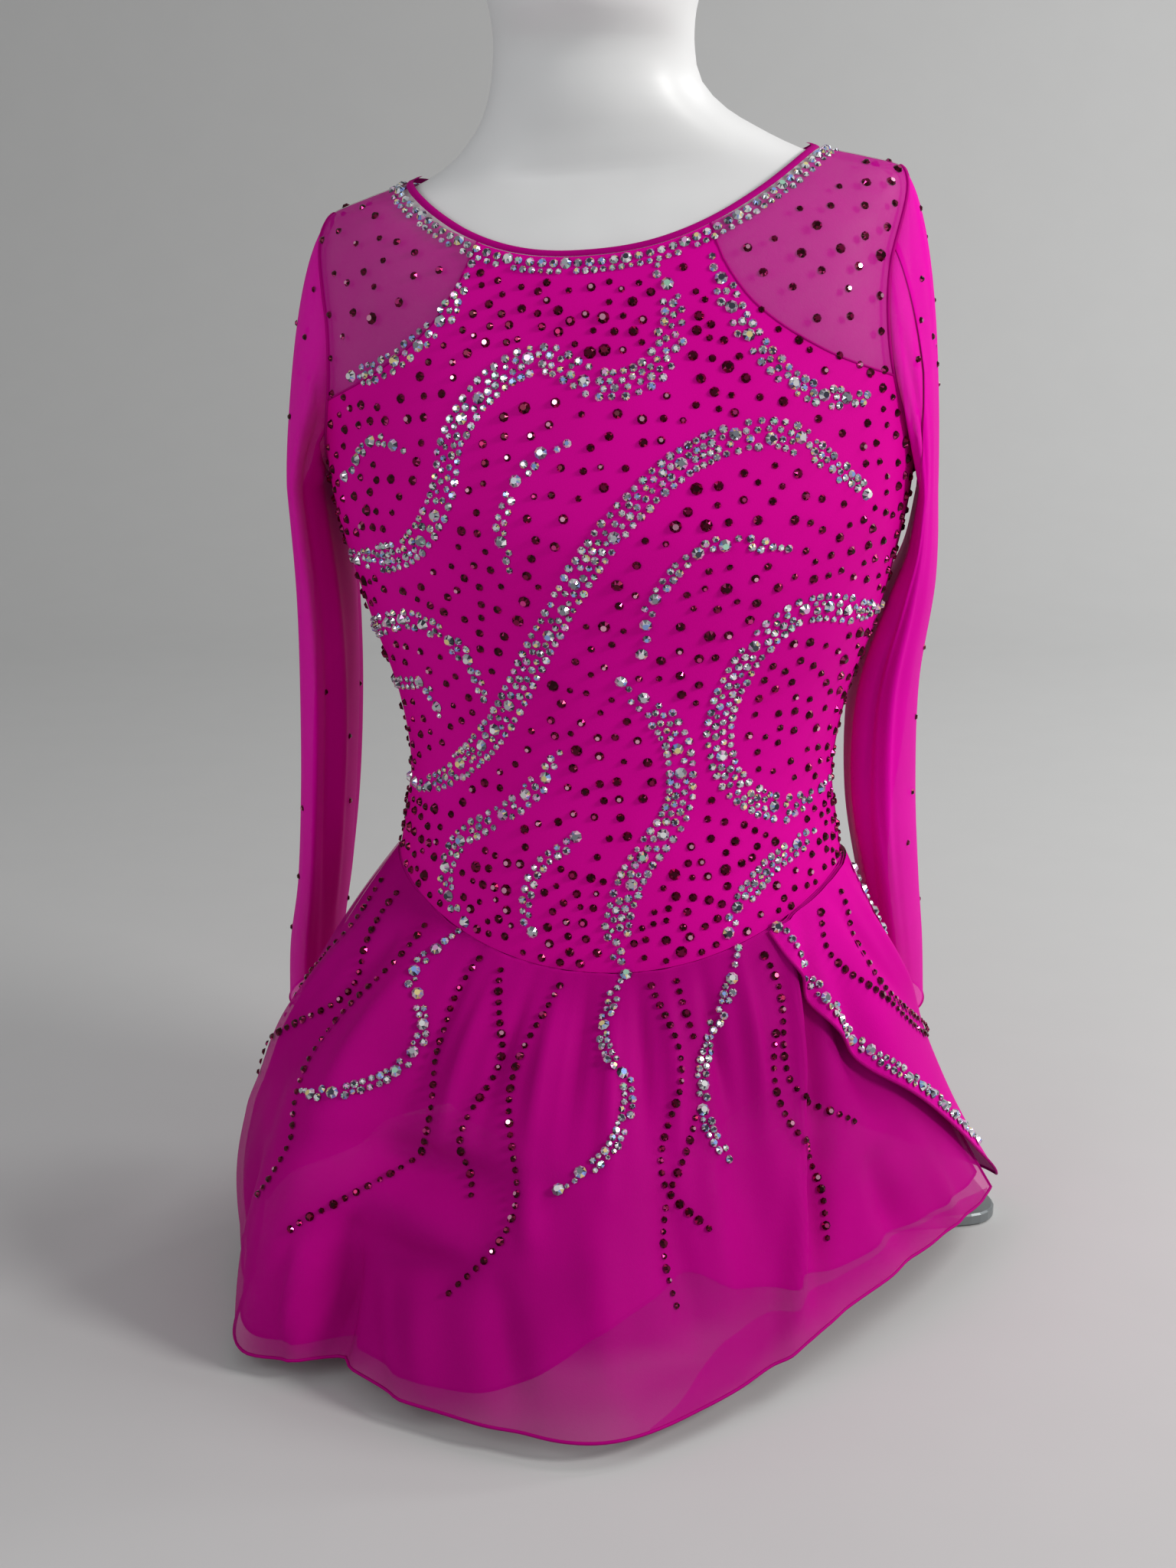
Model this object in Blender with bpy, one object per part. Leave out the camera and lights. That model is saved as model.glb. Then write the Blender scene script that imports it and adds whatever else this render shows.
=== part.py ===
"""Figure skating dress on a limbless dress form, in metres, +Z up, front towards -Y.

Each piece of cloth is a wall on one of three shapes, which are functions of named sizes: the body (an
angle round it and a height), a hanging sleeve, and the skirt (an angle round it and a share of its drop).
"""

import bisect
import math

import bmesh
import bpy
from mathutils import Matrix, Vector

NAME = "figure_skating_dress"

# Places: the body's own axis, from the middle of the whole object's footprint
AXIS = Vector((-0.0038, -0.0023, 0.0))

# Cloth
CLOTH = 0.0012
LAYER = 0.0010
SEAM_GAP = 0.0003
BODY_EASE = 0.0010
FORM_INSET = 0.0022
FORM_INSET_UNDER_BRIEFS = 0.0058
FORM_BRIEFS_Z = 0.200
FORM_INSET_AT_SHOULDER = 0.0034
FORM_SHOULDER_Z = (0.600, 0.684)

# Body: height of each section, half width, depth in front of the axis and behind it, shift of its middle
# forward, and roundness (2 is an ellipse)
BODY = (
    # height, half_width, front, back, forward, roundness
    (0.076, 0.085, 0.050, 0.055, 0.000, 2.0),
    (0.088, 0.108, 0.066, 0.072, 0.000, 2.0),
    (0.110, 0.124, 0.082, 0.088, 0.000, 2.0),
    (0.150, 0.136, 0.095, 0.102, 0.000, 2.0),
    (0.200, 0.141, 0.102, 0.110, 0.000, 2.1),
    (0.250, 0.139, 0.101, 0.104, 0.000, 2.1),
    (0.290, 0.133, 0.095, 0.094, 0.000, 2.1),
    (0.325, 0.129, 0.090, 0.087, 0.000, 2.1),
    (0.370, 0.136, 0.094, 0.090, 0.000, 2.1),
    (0.420, 0.153, 0.105, 0.096, 0.000, 2.1),
    (0.460, 0.164, 0.116, 0.099, 0.000, 2.1),
    (0.490, 0.171, 0.120, 0.100, 0.000, 2.1),
    (0.530, 0.176, 0.112, 0.099, 0.000, 2.1),
    (0.580, 0.178, 0.098, 0.094, 0.000, 2.2),
    (0.615, 0.177, 0.088, 0.085, 0.000, 2.2),
    (0.640, 0.176, 0.077, 0.074, 0.000, 2.2),
    (0.654, 0.174, 0.066, 0.064, 0.000, 2.2),
    (0.662, 0.171, 0.058, 0.057, 0.000, 2.1),
    (0.668, 0.165, 0.052, 0.052, 0.000, 2.1),
    (0.674, 0.146, 0.048, 0.050, 0.000, 2.1),
    (0.681, 0.122, 0.047, 0.050, 0.000, 2.1),
    (0.690, 0.102, 0.049, 0.051, 0.001, 2.0),
    (0.701, 0.086, 0.051, 0.053, 0.002, 2.0),
    (0.713, 0.073, 0.053, 0.054, 0.004, 2.0),
    (0.730, 0.063, 0.053, 0.054, 0.007, 2.0),
    (0.748, 0.060, 0.053, 0.054, 0.010, 2.0),
    (0.758, 0.060, 0.062, 0.055, 0.012, 2.0),
    (0.768, 0.061, 0.074, 0.058, 0.013, 2.0),
    (0.785, 0.065, 0.082, 0.066, 0.014, 2.0),
    (0.815, 0.072, 0.087, 0.080, 0.014, 2.0),
    (0.850, 0.077, 0.090, 0.092, 0.012, 2.0),
    (0.885, 0.078, 0.089, 0.094, 0.010, 2.0),
    (0.915, 0.072, 0.080, 0.086, 0.008, 2.0),
    (0.940, 0.058, 0.062, 0.068, 0.006, 2.0),
    (0.955, 0.038, 0.040, 0.045, 0.004, 2.0),
    (0.962, 0.014, 0.015, 0.017, 0.003, 2.0),
)

# Posture: above the waist the body leans to its right, so that one shoulder is lower and the chest lies a
# little aside, and the neck stands upright again, a little further aside
LEAN = math.radians(4.8)
LEAN_FROM = 0.42
LEAN_TO = 0.62
CHEST_ASIDE = 0.0062
NECK_ASIDE = 0.0090
NECK_BENDS = (0.688, 0.740)

# Bodice
NECK_X = 0.121
NECK_POINT_Z = 0.6813
NECK_FRONT_Z = 0.634
NECK_BACK_Z = 0.664
NECK_POWER = 2.3
BINDING = 0.0035
BINDING_LEAN = 0.7
BINDING_THICK = 0.0015
# Rows of the opaque panels, closer together at the top, and how late their columns lean to their own tops
FRONT_ROWS = 12
BACK_ROWS = 12
PANEL_CROWDING = 1.4
PANEL_FAN = 1.5
BODY_SIDE_RADIUS = 0.13
SHOULDER_DEPTH = 0.05
ARMHOLE_BOTTOM_Z = 0.510
ARMHOLE_TOP_Z = 0.667
ARMHOLE_ANGLE = math.radians(26)
ARMHOLE_POWER = 0.6
ARMHOLE_HALF_WIDTH = 0.050
# Steps round half an armhole, from the shoulder to the underarm, and how many of them the yoke takes
ARMHOLE_STEPS = 8
YOKE_ARMHOLE_STEPS = 5
# The yoke's seam with the opaque panel, from the neckline to the armhole, in front and behind
YOKE_NECK_X = 0.066
YOKE_LINE_FRONT = (
    # across, height
    (0.074, 0.627),
    (0.092, 0.602),
    (0.126, 0.577),
)
YOKE_LINE_BACK = (
    # across, height
    (0.079, 0.648),
    (0.096, 0.620),
    (0.126, 0.590),
)
YOKE_LINE_STEPS = 6
NECK_MIDDLE_STEPS = 4

# Seam between bodice and skirt: height at the sides, and how much lower it dips in front and behind
BASQUE_SIDE_Z = 0.270
BASQUE_FRONT_DIP = 0.048
BASQUE_BACK_DIP = 0.020

# Briefs
LEG_SIDE_Z = 0.165
GUSSET_HALF = 0.032
GUSSET_Z = 0.0752
LEG_POWER = 0.75
BRIEFS_OUT = -0.0001
BRIEFS_ROWS = 7
BRIEFS_CROWDING = 1.5

# Skirt: angle round the body (0 is its left side, -90 the front), radius and height of the hem there, and
# how much the fall bulges above a straight line
SKIRT = (
    # angle, hem_radius, hem_height, bulge
    (-185, 0.226, 0.024, 0.80),
    (-166, 0.235, 0.018, 1.10),
    (-147, 0.249, 0.014, 1.15),
    (-133, 0.276, 0.012, 0.70),
    (-123, 0.249, 0.015, 0.45),
    (-108, 0.258, 0.015, 0.40),
    (-95, 0.268, 0.014, 0.45),
    (-83, 0.271, 0.013, 0.35),
    (-70, 0.241, 0.016, 0.20),
    (-58, 0.216, 0.021, 0.10),
    (-50, 0.211, 0.026, 0.20),
    (-40, 0.199, 0.031, 0.05),
    (-24, 0.201, 0.036, 0.00),
    (-6, 0.212, 0.037, 0.00),
    (8, 0.233, 0.031, -0.15),
    (18, 0.246, 0.028, -0.50),
    (30, 0.224, 0.030, -0.35),
    (45, 0.204, 0.032, 0.10),
    (60, 0.214, 0.032, 0.25),
    (75, 0.194, 0.032, 0.25),
    (90, 0.210, 0.032, 0.25),
    (105, 0.192, 0.032, 0.25),
    (120, 0.210, 0.032, 0.25),
    (135, 0.194, 0.032, 0.20),
    (150, 0.206, 0.030, 0.05),
    (163, 0.200, 0.028, 0.10),
)
SIDE_SEAM = -175
FRONT_END = 13
# The skirt's back piece wraps round to the front: its edge, as angle against share of the drop
WRAP_EDGE = (
    # share, angle
    (0.00, -47),
    (0.26, -35),
    (0.50, -19),
    (0.69, -3),
    (0.85, 9),
    (1.00, 18),
)
# The under layer's hem, as the share of the upper layer's drop that it reaches
UNDER_HEM = (
    # angle, share
    (-175, 0.955),
    (-100, 0.945),
    (-90, 0.875),
    (-82, 0.770),
    (-70, 0.715),
    (-58, 0.790),
    (-45, 0.930),
    (-20, 0.955),
    (13, 0.955),
)
# Distance of each layer out from the skirt's surface at the seam, and how much it grows down to the hem
UNDER_OUT = 0.0005
UPPER_OUT = 0.0021
UPPER_GROWS = 0.0028
WRAP_OUT = 0.0038
WRAP_GROWS = 0.0090
LAYERS_PART_BY = 0.35
WRAP_FADES = 20
SKIRT_TURN_SHARE = 0.15
SKIRT_SHARES = (0, 0.05, 0.12, 0.22, 0.34, 0.47, 0.61, 0.75, 0.88, 1)
UNDER_SAME_SHARES = 3
FRONT_COLUMNS = 38
# The back piece's columns: those that lean with its edge, up to an angle, and the rest
WRAP_LEANS_TO = 60
WRAP_EDGE_COLUMNS = 18
WRAP_REST_COLUMNS = 26

# Sleeves: height, middle across, half width, middle behind the axis, half depth, in the leaning posture
SLEEVE_LEFT = (
    # height, middle_x, half_width, middle_y, half_depth
    (0.495, -0.1910, 0.0115, 0.008, 0.056),
    (0.430, -0.1880, 0.0140, 0.013, 0.053),
    (0.370, -0.1890, 0.0150, 0.018, 0.050),
    (0.300, -0.1940, 0.0145, 0.026, 0.046),
    (0.230, -0.2040, 0.0145, 0.044, 0.042),
    (0.180, -0.2150, 0.0160, 0.061, 0.038),
    (0.135, -0.2220, 0.0155, 0.076, 0.036),
)
SLEEVE_RIGHT = (
    # height, middle_x, half_width, middle_y, half_depth
    (0.495, 0.1825, 0.0070, 0.028, 0.055),
    (0.460, 0.1795, 0.0110, 0.038, 0.054),
    (0.430, 0.1730, 0.0165, 0.046, 0.053),
    (0.370, 0.1600, 0.0220, 0.054, 0.050),
    (0.300, 0.1590, 0.0230, 0.062, 0.046),
    (0.230, 0.1660, 0.0200, 0.084, 0.042),
    (0.185, 0.1715, 0.0180, 0.102, 0.038),
    (0.135, 0.1750, 0.0165, 0.122, 0.036),
)
SLEEVE_CAP = 5
SLEEVE_ROWS = 14
CAP_LEAVE_OUT = 0.33
CAP_LEAVE_DOWN = 0.45
CAP_STEP = 0.01

# The form's columns, closer together at its sides
FORM_COLUMNS = 32
FORM_SIDE_CROWDING = 0.35

# Stand: a plate turned a little from the body, and two short posts that pass through the leg openings
PLATE_WIDTH = 0.400
PLATE_DEPTH = 0.240
PLATE_HEIGHT = 0.008
PLATE_CORNER = 0.022
PLATE_BEVEL = 0.0012
PLATE_TURN = math.radians(20)
PLATE_CORNER_AT = (0.250, 0.063)
POST_RADIUS = 0.011
POST_ACROSS = 0.055

DEG = math.pi / 180

# Colours
MAGENTA = (0.62, 0.002, 0.27)
MESH_MAGENTA = (0.66, 0.02, 0.32)
WHITE = (0.82, 0.82, 0.82)
GREY = (0.30, 0.32, 0.33)


def smooth_table(rows, at, column):
    """The column's value at a key, on a smooth curve through the table's rows, which are in order of key."""
    keys = [row[0] for row in rows]
    if keys[0] > keys[-1]:
        rows = rows[::-1]
        keys = keys[::-1]
    at = min(max(at, keys[0]), keys[-1])
    i = min(max(bisect.bisect_right(keys, at) - 1, 0), len(keys) - 2)

    def slope(k):
        low = max(k - 1, 0)
        high = min(k + 1, len(keys) - 1)
        return (rows[high][column] - rows[low][column]) / (keys[high] - keys[low])

    width = keys[i + 1] - keys[i]
    t = (at - keys[i]) / width
    start = rows[i][column]
    end = rows[i + 1][column]
    return (
        (2 * t**3 - 3 * t**2 + 1) * start
        + (t**3 - 2 * t**2 + t) * width * slope(i)
        + (3 * t**2 - 2 * t**3) * end
        + (t**3 - t**2) * width * slope(i + 1)
    )


def round_power(value, roundness):
    return math.copysign(abs(value) ** (2 / roundness), value)


def lean(point):
    """A point of the upright body, in the leaning posture."""
    x, y, z = point
    share = min(max((z - LEAN_FROM) / (LEAN_TO - LEAN_FROM), 0), 1)
    risen = min(max((z - NECK_BENDS[0]) / (NECK_BENDS[1] - NECK_BENDS[0]), 0), 1)
    upright_again = risen * risen * (3 - 2 * risen)
    angle = LEAN * share * (1 - upright_again)
    aside = CHEST_ASIDE * share * share + NECK_ASIDE * upright_again
    return Vector((x * math.cos(angle) - aside, y, z + x * math.sin(angle)))


def upright(angle, z):
    """A point of the upright body's surface."""
    width, front, back, forward, roundness = (smooth_table(BODY, z, k) for k in range(1, 6))
    depth = front if math.sin(angle) < 0 else back
    x = width * round_power(math.cos(angle), roundness)
    y = depth * round_power(math.sin(angle), roundness) - forward
    return Vector((x, y, z))


def body(angle, z, out):
    """A point at a distance out from the leaning body's surface."""
    step = 0.01
    rise = 0.001
    along = lean(upright(angle + step, z)) - lean(upright(angle - step, z))
    up = lean(upright(angle, z + rise)) - lean(upright(angle, z - rise))
    normal = along.cross(up).normalized()
    return lean(upright(angle, z)) + normal * out


def angle_across(x, z, side):
    """The angle of the body point that is x across at a height, in front for side -1 and behind for 1."""
    width = smooth_table(BODY, z, 1)
    roundness = smooth_table(BODY, z, 5)
    share = min(abs(x) / width, 1.0)
    turn = math.acos(share ** (roundness / 2))
    return side * (turn if x > 0 else math.pi - turn)


def neckline_z(x, side):
    low = NECK_FRONT_Z if side < 0 else NECK_BACK_Z
    return low + (NECK_POINT_Z - low) * min(abs(x) / NECK_X, 1) ** NECK_POWER


def basque_z(angle):
    dip = BASQUE_FRONT_DIP if math.sin(angle) < 0 else BASQUE_BACK_DIP
    return BASQUE_SIDE_Z - dip * math.sin(angle) ** 2


def spread(start, end, count):
    return [start + (end - start) * i / count for i in range(count + 1)]


def neck_across(t):
    """How far across the yoke's neck edge is at a share of the way up it, with steps closer at the shoulder."""
    start_x = YOKE_NECK_X
    return start_x + (NECK_X - start_x) * (1 - (1 - t) ** 2)


def armhole(turn, grow):
    """(angle, height) of the armhole's edge: turn goes from 0 at the shoulder to pi at the underarm."""
    middle = 0.5 * (ARMHOLE_TOP_Z + ARMHOLE_BOTTOM_Z)
    half = 0.5 * (ARMHOLE_TOP_Z - ARMHOLE_BOTTOM_Z)
    share = 0.5 + 0.5 * math.cos(turn)
    angle = ARMHOLE_ANGLE * max(math.sin(math.pi * share), 0) ** ARMHOLE_POWER
    return (angle * (1 + grow / ARMHOLE_HALF_WIDTH), middle + (half + grow) * math.cos(turn))


def yoke_line(side, move):
    """Points (across, height) of the yoke's lower seam, from the neckline, moved towards the yoke."""
    end_angle, end_z = armhole(math.pi * YOKE_ARMHOLE_STEPS / ARMHOLE_STEPS, 0)
    end = upright(side * end_angle, end_z)
    table = YOKE_LINE_FRONT if side < 0 else YOKE_LINE_BACK
    rows = [(YOKE_NECK_X, neckline_z(YOKE_NECK_X, side))] + list(table) + [(end.x, end.z)]
    line = []
    for x in spread(YOKE_NECK_X, end.x, YOKE_LINE_STEPS):
        slope = (smooth_table(rows, x + 0.001, 1) - smooth_table(rows, x - 0.001, 1)) / 0.002
        size = math.hypot(1, slope)
        line.append((x - slope / size * move, smooth_table(rows, x, 1) + move / size))
    return line


def half_panel_top(side):
    """The top edge of half an opaque panel, from its side seam to its middle, as (angle, height) points."""
    points = []
    for i in range(ARMHOLE_STEPS, YOKE_ARMHOLE_STEPS, -1):
        angle, z = armhole(math.pi * i / ARMHOLE_STEPS, SEAM_GAP / 2)
        points.append((side * angle, z))
    for x, z in yoke_line(side, -SEAM_GAP / 2)[::-1]:
        points.append((angle_across(x, z, side), z))
    for x in spread(YOKE_NECK_X, 0.0, NECK_MIDDLE_STEPS)[1:]:
        z = neckline_z(x, side) - SEAM_GAP / 2
        points.append((angle_across(max(x, 1e-6), z, side), z))
    return points


def panel_grid(side, rows):
    """(angle, height) points of an opaque panel, a column for each point of its top edge."""
    half = half_panel_top(side)
    mirrored = [(side * math.pi - angle, z) for angle, z in half[-2::-1]]
    top = half + mirrored
    edge = SEAM_GAP / 2 / BODY_SIDE_RADIUS
    columns = []
    for i, (angle, z) in enumerate(top):
        foot = min(max(math.pi * i / (len(top) - 1), edge), math.pi - edge) * side
        head = min(max(abs(angle), edge), math.pi - edge) * side
        low = basque_z(foot) + SEAM_GAP / 2
        column = []
        for t in spread(0, 1, rows):
            rise = 1 - (1 - t) ** PANEL_CROWDING
            column.append((foot + (head - foot) * rise**PANEL_FAN, low + (z - low) * rise))
        columns.append(column)
    return columns


def blend_patch(bottom, top, left, right):
    """Points of a four-sided patch, from its edges as functions of 0 to 1."""
    def at(s, t):
        point = []
        for k in range(2):
            ruled = (1 - t) * bottom(s)[k] + t * top(s)[k] + (1 - s) * left(t)[k] + s * right(t)[k]
            corners = (
                (1 - s) * (1 - t) * bottom(0)[k]
                + s * (1 - t) * bottom(1)[k]
                + (1 - s) * t * top(0)[k]
                + s * t * top(1)[k]
            )
            point.append(ruled - corners)
        return tuple(point)
    return at


def yoke_patch(side):
    """The yoke on the body's left (+X), in front or behind, as a patch from its neckline to its armhole."""
    low = [(angle_across(x, z, side), z) for x, z in yoke_line(side, SEAM_GAP / 2)]
    ridge = side * SEAM_GAP / 2 / SHOULDER_DEPTH

    def bottom(s):
        place = s * YOKE_LINE_STEPS
        i = min(int(place), YOKE_LINE_STEPS - 1)
        share = place - i
        return tuple(low[i][k] + (low[i + 1][k] - low[i][k]) * share for k in range(2))

    def top(s):
        return (ridge, NECK_POINT_Z - SEAM_GAP / 2 + (ARMHOLE_TOP_Z - NECK_POINT_Z) * s)

    def ends_met(raw, first, last, t, start, end):
        """An edge's point, moved so that the whole edge meets the two edges beside it."""
        return tuple(raw[k] + (1 - t) * (start[k] - first[k]) + t * (end[k] - last[k]) for k in range(2))

    def neck_point(t):
        x = neck_across(t)
        z = neckline_z(x, side) - SEAM_GAP / 2
        return (angle_across(x, z, side), z)

    def arm_point(t):
        turn = math.pi * YOKE_ARMHOLE_STEPS / ARMHOLE_STEPS * (1 - t)
        angle, z = armhole(turn, SEAM_GAP / 2)
        return (side * angle, z)

    def left(t):
        return ends_met(neck_point(t), neck_point(0), neck_point(1), t, bottom(0), top(0))

    def right(t):
        return ends_met(arm_point(t), arm_point(0), arm_point(1), t, bottom(1), top(1))

    return blend_patch(bottom, top, left, right)


def skirt_row(angle):
    """Hem radius, hem height and bulge at an angle in degrees, from the table taken as a closed ring."""
    first = SKIRT[0][0]
    turned = (angle - first) % 360 + first
    ring = [(row[0] - 360,) + row[1:] for row in SKIRT[-3:]]
    ring += list(SKIRT)
    ring += [(row[0] + 360,) + row[1:] for row in SKIRT[:3]]
    return [smooth_table(ring, turned, k) for k in (1, 2, 3)]


def skirt_base(angle, share):
    """A point of the skirt's surface before it is moved out into its layer."""
    radius, height, bulge = skirt_row(angle)
    turn = angle * DEG
    start = body(turn, basque_z(turn), BODY_EASE)
    top = basque_z(turn) - SEAM_GAP
    out = share + bulge * share * (1 - share)
    start_radius = math.hypot(start.x, start.y)
    start_turn = math.atan2(start.y, start.x)
    swing = (turn - start_turn + math.pi) % (2 * math.pi) - math.pi
    here = start_turn + swing * min(1, share * 2)
    r = start_radius + (radius - start_radius) * out
    return Vector((r * math.cos(here), r * math.sin(here), top + (height - top) * share))


def skirt(angle, share, away, out):
    """A point moved level away from the axis, then out along the skirt's normal."""
    turn = 0.5
    step = 0.01
    low = max(share - step, 0)
    high = min(share + step, 1)
    along = skirt_base(angle + turn, share) - skirt_base(angle - turn, share)
    down = skirt_base(angle, high) - skirt_base(angle, low)
    normal = down.cross(along).normalized()
    level = Vector((normal.x, normal.y, 0)).normalized()
    turned = level.lerp(normal, min(share / SKIRT_TURN_SHARE, 1)).normalized()
    base = skirt_base(angle, share)
    return base + Vector((base.x, base.y, 0)).normalized() * away + turned * out


def sleeve(table, side, turn, share):
    """A point of a sleeve's outer surface: turn goes round from its outer edge, share goes down it."""
    opening, z_in = armhole(abs(turn), -SEAM_GAP)
    angle = -opening if turn > 0 else opening
    if side < 0:
        angle = math.pi - angle
    first = SLEEVE_CAP / SLEEVE_ROWS

    def ring(z_ring):
        middle_x, half_width, middle_y, half_depth = (smooth_table(table, z_ring, k) for k in range(1, 5))
        x = middle_x + side * half_width * math.cos(turn)
        y = middle_y - half_depth * math.sin(turn)
        return Vector((x, y, z_ring))

    top = table[0][0]
    bottom = table[-1][0]
    if share >= first:
        return ring(top + (bottom - top) * (share - first) / (1 - first))
    t = share / first
    start = body(angle, z_in, BODY_EASE + CLOTH)
    out = (body(angle, z_in, CAP_STEP) - body(angle, z_in, 0)).normalized()
    end = ring(top)
    reach = (end - start).length
    leave = (out * CAP_LEAVE_OUT + Vector((0, 0, -CAP_LEAVE_DOWN))) * reach
    arrive = Vector((0, 0, -1)) * reach
    return (
        (2 * t**3 - 3 * t**2 + 1) * start
        + (t**3 - 2 * t**2 + t) * leave
        + (3 * t**2 - 2 * t**3) * end
        + (t**3 - t**2) * arrive
    )


def sleeve_wall(table, side, turn, share, depth):
    """A point at a depth inside a sleeve's outer surface."""
    step = 0.01
    low = max(share - step, 0)
    high = min(share + step, 1)
    along = sleeve(table, side, turn + step, share) - sleeve(table, side, turn - step, share)
    down = sleeve(table, side, turn, high) - sleeve(table, side, turn, low)
    normal = along.cross(down).normalized() * side
    return sleeve(table, side, turn, share) - normal * depth


def material(name, colour, roughness, metallic=0.0):
    made = bpy.data.materials.new(name)
    made.use_nodes = True
    shader = made.node_tree.nodes["Principled BSDF"]
    shader.inputs["Base Color"].default_value = (*colour, 1)
    shader.inputs["Roughness"].default_value = roughness
    shader.inputs["Metallic"].default_value = metallic
    made.diffuse_color = (*colour, 1)
    return made


def finish(name, mesh, collection, finish_material, sharp=60):
    """Turns a mesh's faces outward, shades it smooth and adds it to the scene, moved to the body's axis."""
    work = bmesh.new()
    work.from_mesh(mesh)
    bmesh.ops.recalc_face_normals(work, faces=work.faces)
    if work.calc_volume(signed=True) < 0:
        bmesh.ops.reverse_faces(work, faces=work.faces)
    work.to_mesh(mesh)
    work.free()
    mesh.transform(Matrix.Translation(AXIS))
    mesh.materials.append(finish_material)
    mesh.shade_smooth()
    mesh.set_sharp_from_angle(angle=math.radians(sharp))
    obj = bpy.data.objects.new(name, mesh)
    collection.objects.link(obj)
    return obj


def wall(name, inner, outer, closed, collection, finish_material):
    """A cloth wall between two grids of points, given as columns, with its rims closed."""
    columns = len(inner)
    rows = len(inner[0])
    points = [point for column in inner for point in column]
    points += [point for column in outer for point in column]
    shift = columns * rows

    def at(i, k, side):
        return (i % columns) * rows + k + side * shift

    faces = []
    spans = columns if closed else columns - 1
    for i in range(spans):
        for k in range(rows - 1):
            for side in (0, 1):
                quad = [at(i, k, side), at(i + 1, k, side), at(i + 1, k + 1, side), at(i, k + 1, side)]
                faces += [[quad[0], quad[1], quad[2]], [quad[0], quad[2], quad[3]]]
        for k in (0, rows - 1):
            faces.append([at(i, k, 0), at(i + 1, k, 0), at(i + 1, k, 1), at(i, k, 1)])
    if not closed:
        for i in (0, columns - 1):
            for k in range(rows - 1):
                faces.append([at(i, k, 0), at(i, k, 1), at(i, k + 1, 1), at(i, k + 1, 0)])
    mesh = bpy.data.meshes.new(name)
    mesh.from_pydata(points, [], faces)
    return finish(name, mesh, collection, finish_material)


def body_wall(name, grid, low, high, collection, finish_material):
    """A wall over (angle, height) points, from one distance out of the body to another."""
    inner = [[body(angle, z, low) for angle, z in column] for column in grid]
    outer = [[body(angle, z, high) for angle, z in column] for column in grid]
    return wall(name, inner, outer, False, collection, finish_material)


def add_form(collection, white):
    """The torso, neck and plain head, as one turned-and-leaned body with a flat bottom and top."""
    heights = []
    for low, high in zip(BODY, BODY[1:]):
        steps = max(1, round((high[0] - low[0]) / 0.030))
        heights += [low[0] + (high[0] - low[0]) * k / steps for k in range(steps)]
    heights.append(BODY[-1][0])
    rings = []
    columns = FORM_COLUMNS
    turns = [2 * math.pi * i / columns for i in range(columns)]
    angles = [turn - FORM_SIDE_CROWDING * math.sin(2 * turn) / 2 for turn in turns]
    for z in heights:
        inset = FORM_INSET
        if z < FORM_BRIEFS_Z:
            inset = FORM_INSET_UNDER_BRIEFS
        if FORM_SHOULDER_Z[0] < z < FORM_SHOULDER_Z[1]:
            inset = FORM_INSET_AT_SHOULDER
        rings.append([body(angle, z, -inset) for angle in angles])
    rings[0] = [Vector((p.x, p.y, BODY[0][0])) for p in rings[0]]
    points = [point for ring in rings for point in ring]
    faces = []
    for k in range(len(rings) - 1):
        for i in range(columns):
            j = (i + 1) % columns
            faces.append([k * columns + i, k * columns + j, (k + 1) * columns + j, (k + 1) * columns + i])
    faces.append(list(range(columns))[::-1])
    faces.append([(len(rings) - 1) * columns + i for i in range(columns)])
    mesh = bpy.data.meshes.new("form_torso")
    mesh.from_pydata(points, [], faces)
    finish("form_torso", mesh, collection, white)


def add_stand(collection, grey):
    work = bmesh.new()
    bmesh.ops.create_cube(work, size=1)
    bmesh.ops.scale(work, vec=(PLATE_WIDTH, PLATE_DEPTH, PLATE_HEIGHT), verts=work.verts)
    upright_edges = [e for e in work.edges if abs(e.verts[0].co.z - e.verts[1].co.z) > PLATE_HEIGHT / 2]
    bmesh.ops.bevel(work, geom=upright_edges, offset=PLATE_CORNER, segments=5, affect="EDGES", profile=0.5)
    rims = [e for e in work.edges if abs(e.verts[0].co.z - e.verts[1].co.z) < PLATE_HEIGHT / 2]
    bmesh.ops.bevel(work, geom=rims, offset=PLATE_BEVEL, segments=1, affect="EDGES", profile=0.5)
    corner = Vector((PLATE_CORNER_AT[0], PLATE_CORNER_AT[1], 0))
    along = Vector((math.cos(PLATE_TURN), math.sin(PLATE_TURN), 0))
    across = Vector((-math.sin(PLATE_TURN), math.cos(PLATE_TURN), 0))
    middle = corner - along * PLATE_WIDTH / 2 + across * PLATE_DEPTH / 2
    middle.z = PLATE_HEIGHT / 2
    work.transform(Matrix.Translation(middle) @ Matrix.Rotation(PLATE_TURN, 4, "Z"))
    mesh = bpy.data.meshes.new("form_plate")
    work.to_mesh(mesh)
    work.free()
    finish("form_plate", mesh, collection, grey, sharp=30)
    low = PLATE_HEIGHT + SEAM_GAP
    high = BODY[0][0] - SEAM_GAP
    for side, label in ((-1, "left"), (1, "right")):
        post = bmesh.new()
        bmesh.ops.create_cone(
            post, cap_ends=True, segments=20, radius1=POST_RADIUS, radius2=POST_RADIUS, depth=high - low
        )
        post.transform(Matrix.Translation((side * POST_ACROSS, 0, (low + high) / 2)))
        mesh = bpy.data.meshes.new("form_post_" + label)
        post.to_mesh(mesh)
        post.free()
        finish("form_post_" + label, mesh, collection, grey, sharp=30)


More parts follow.
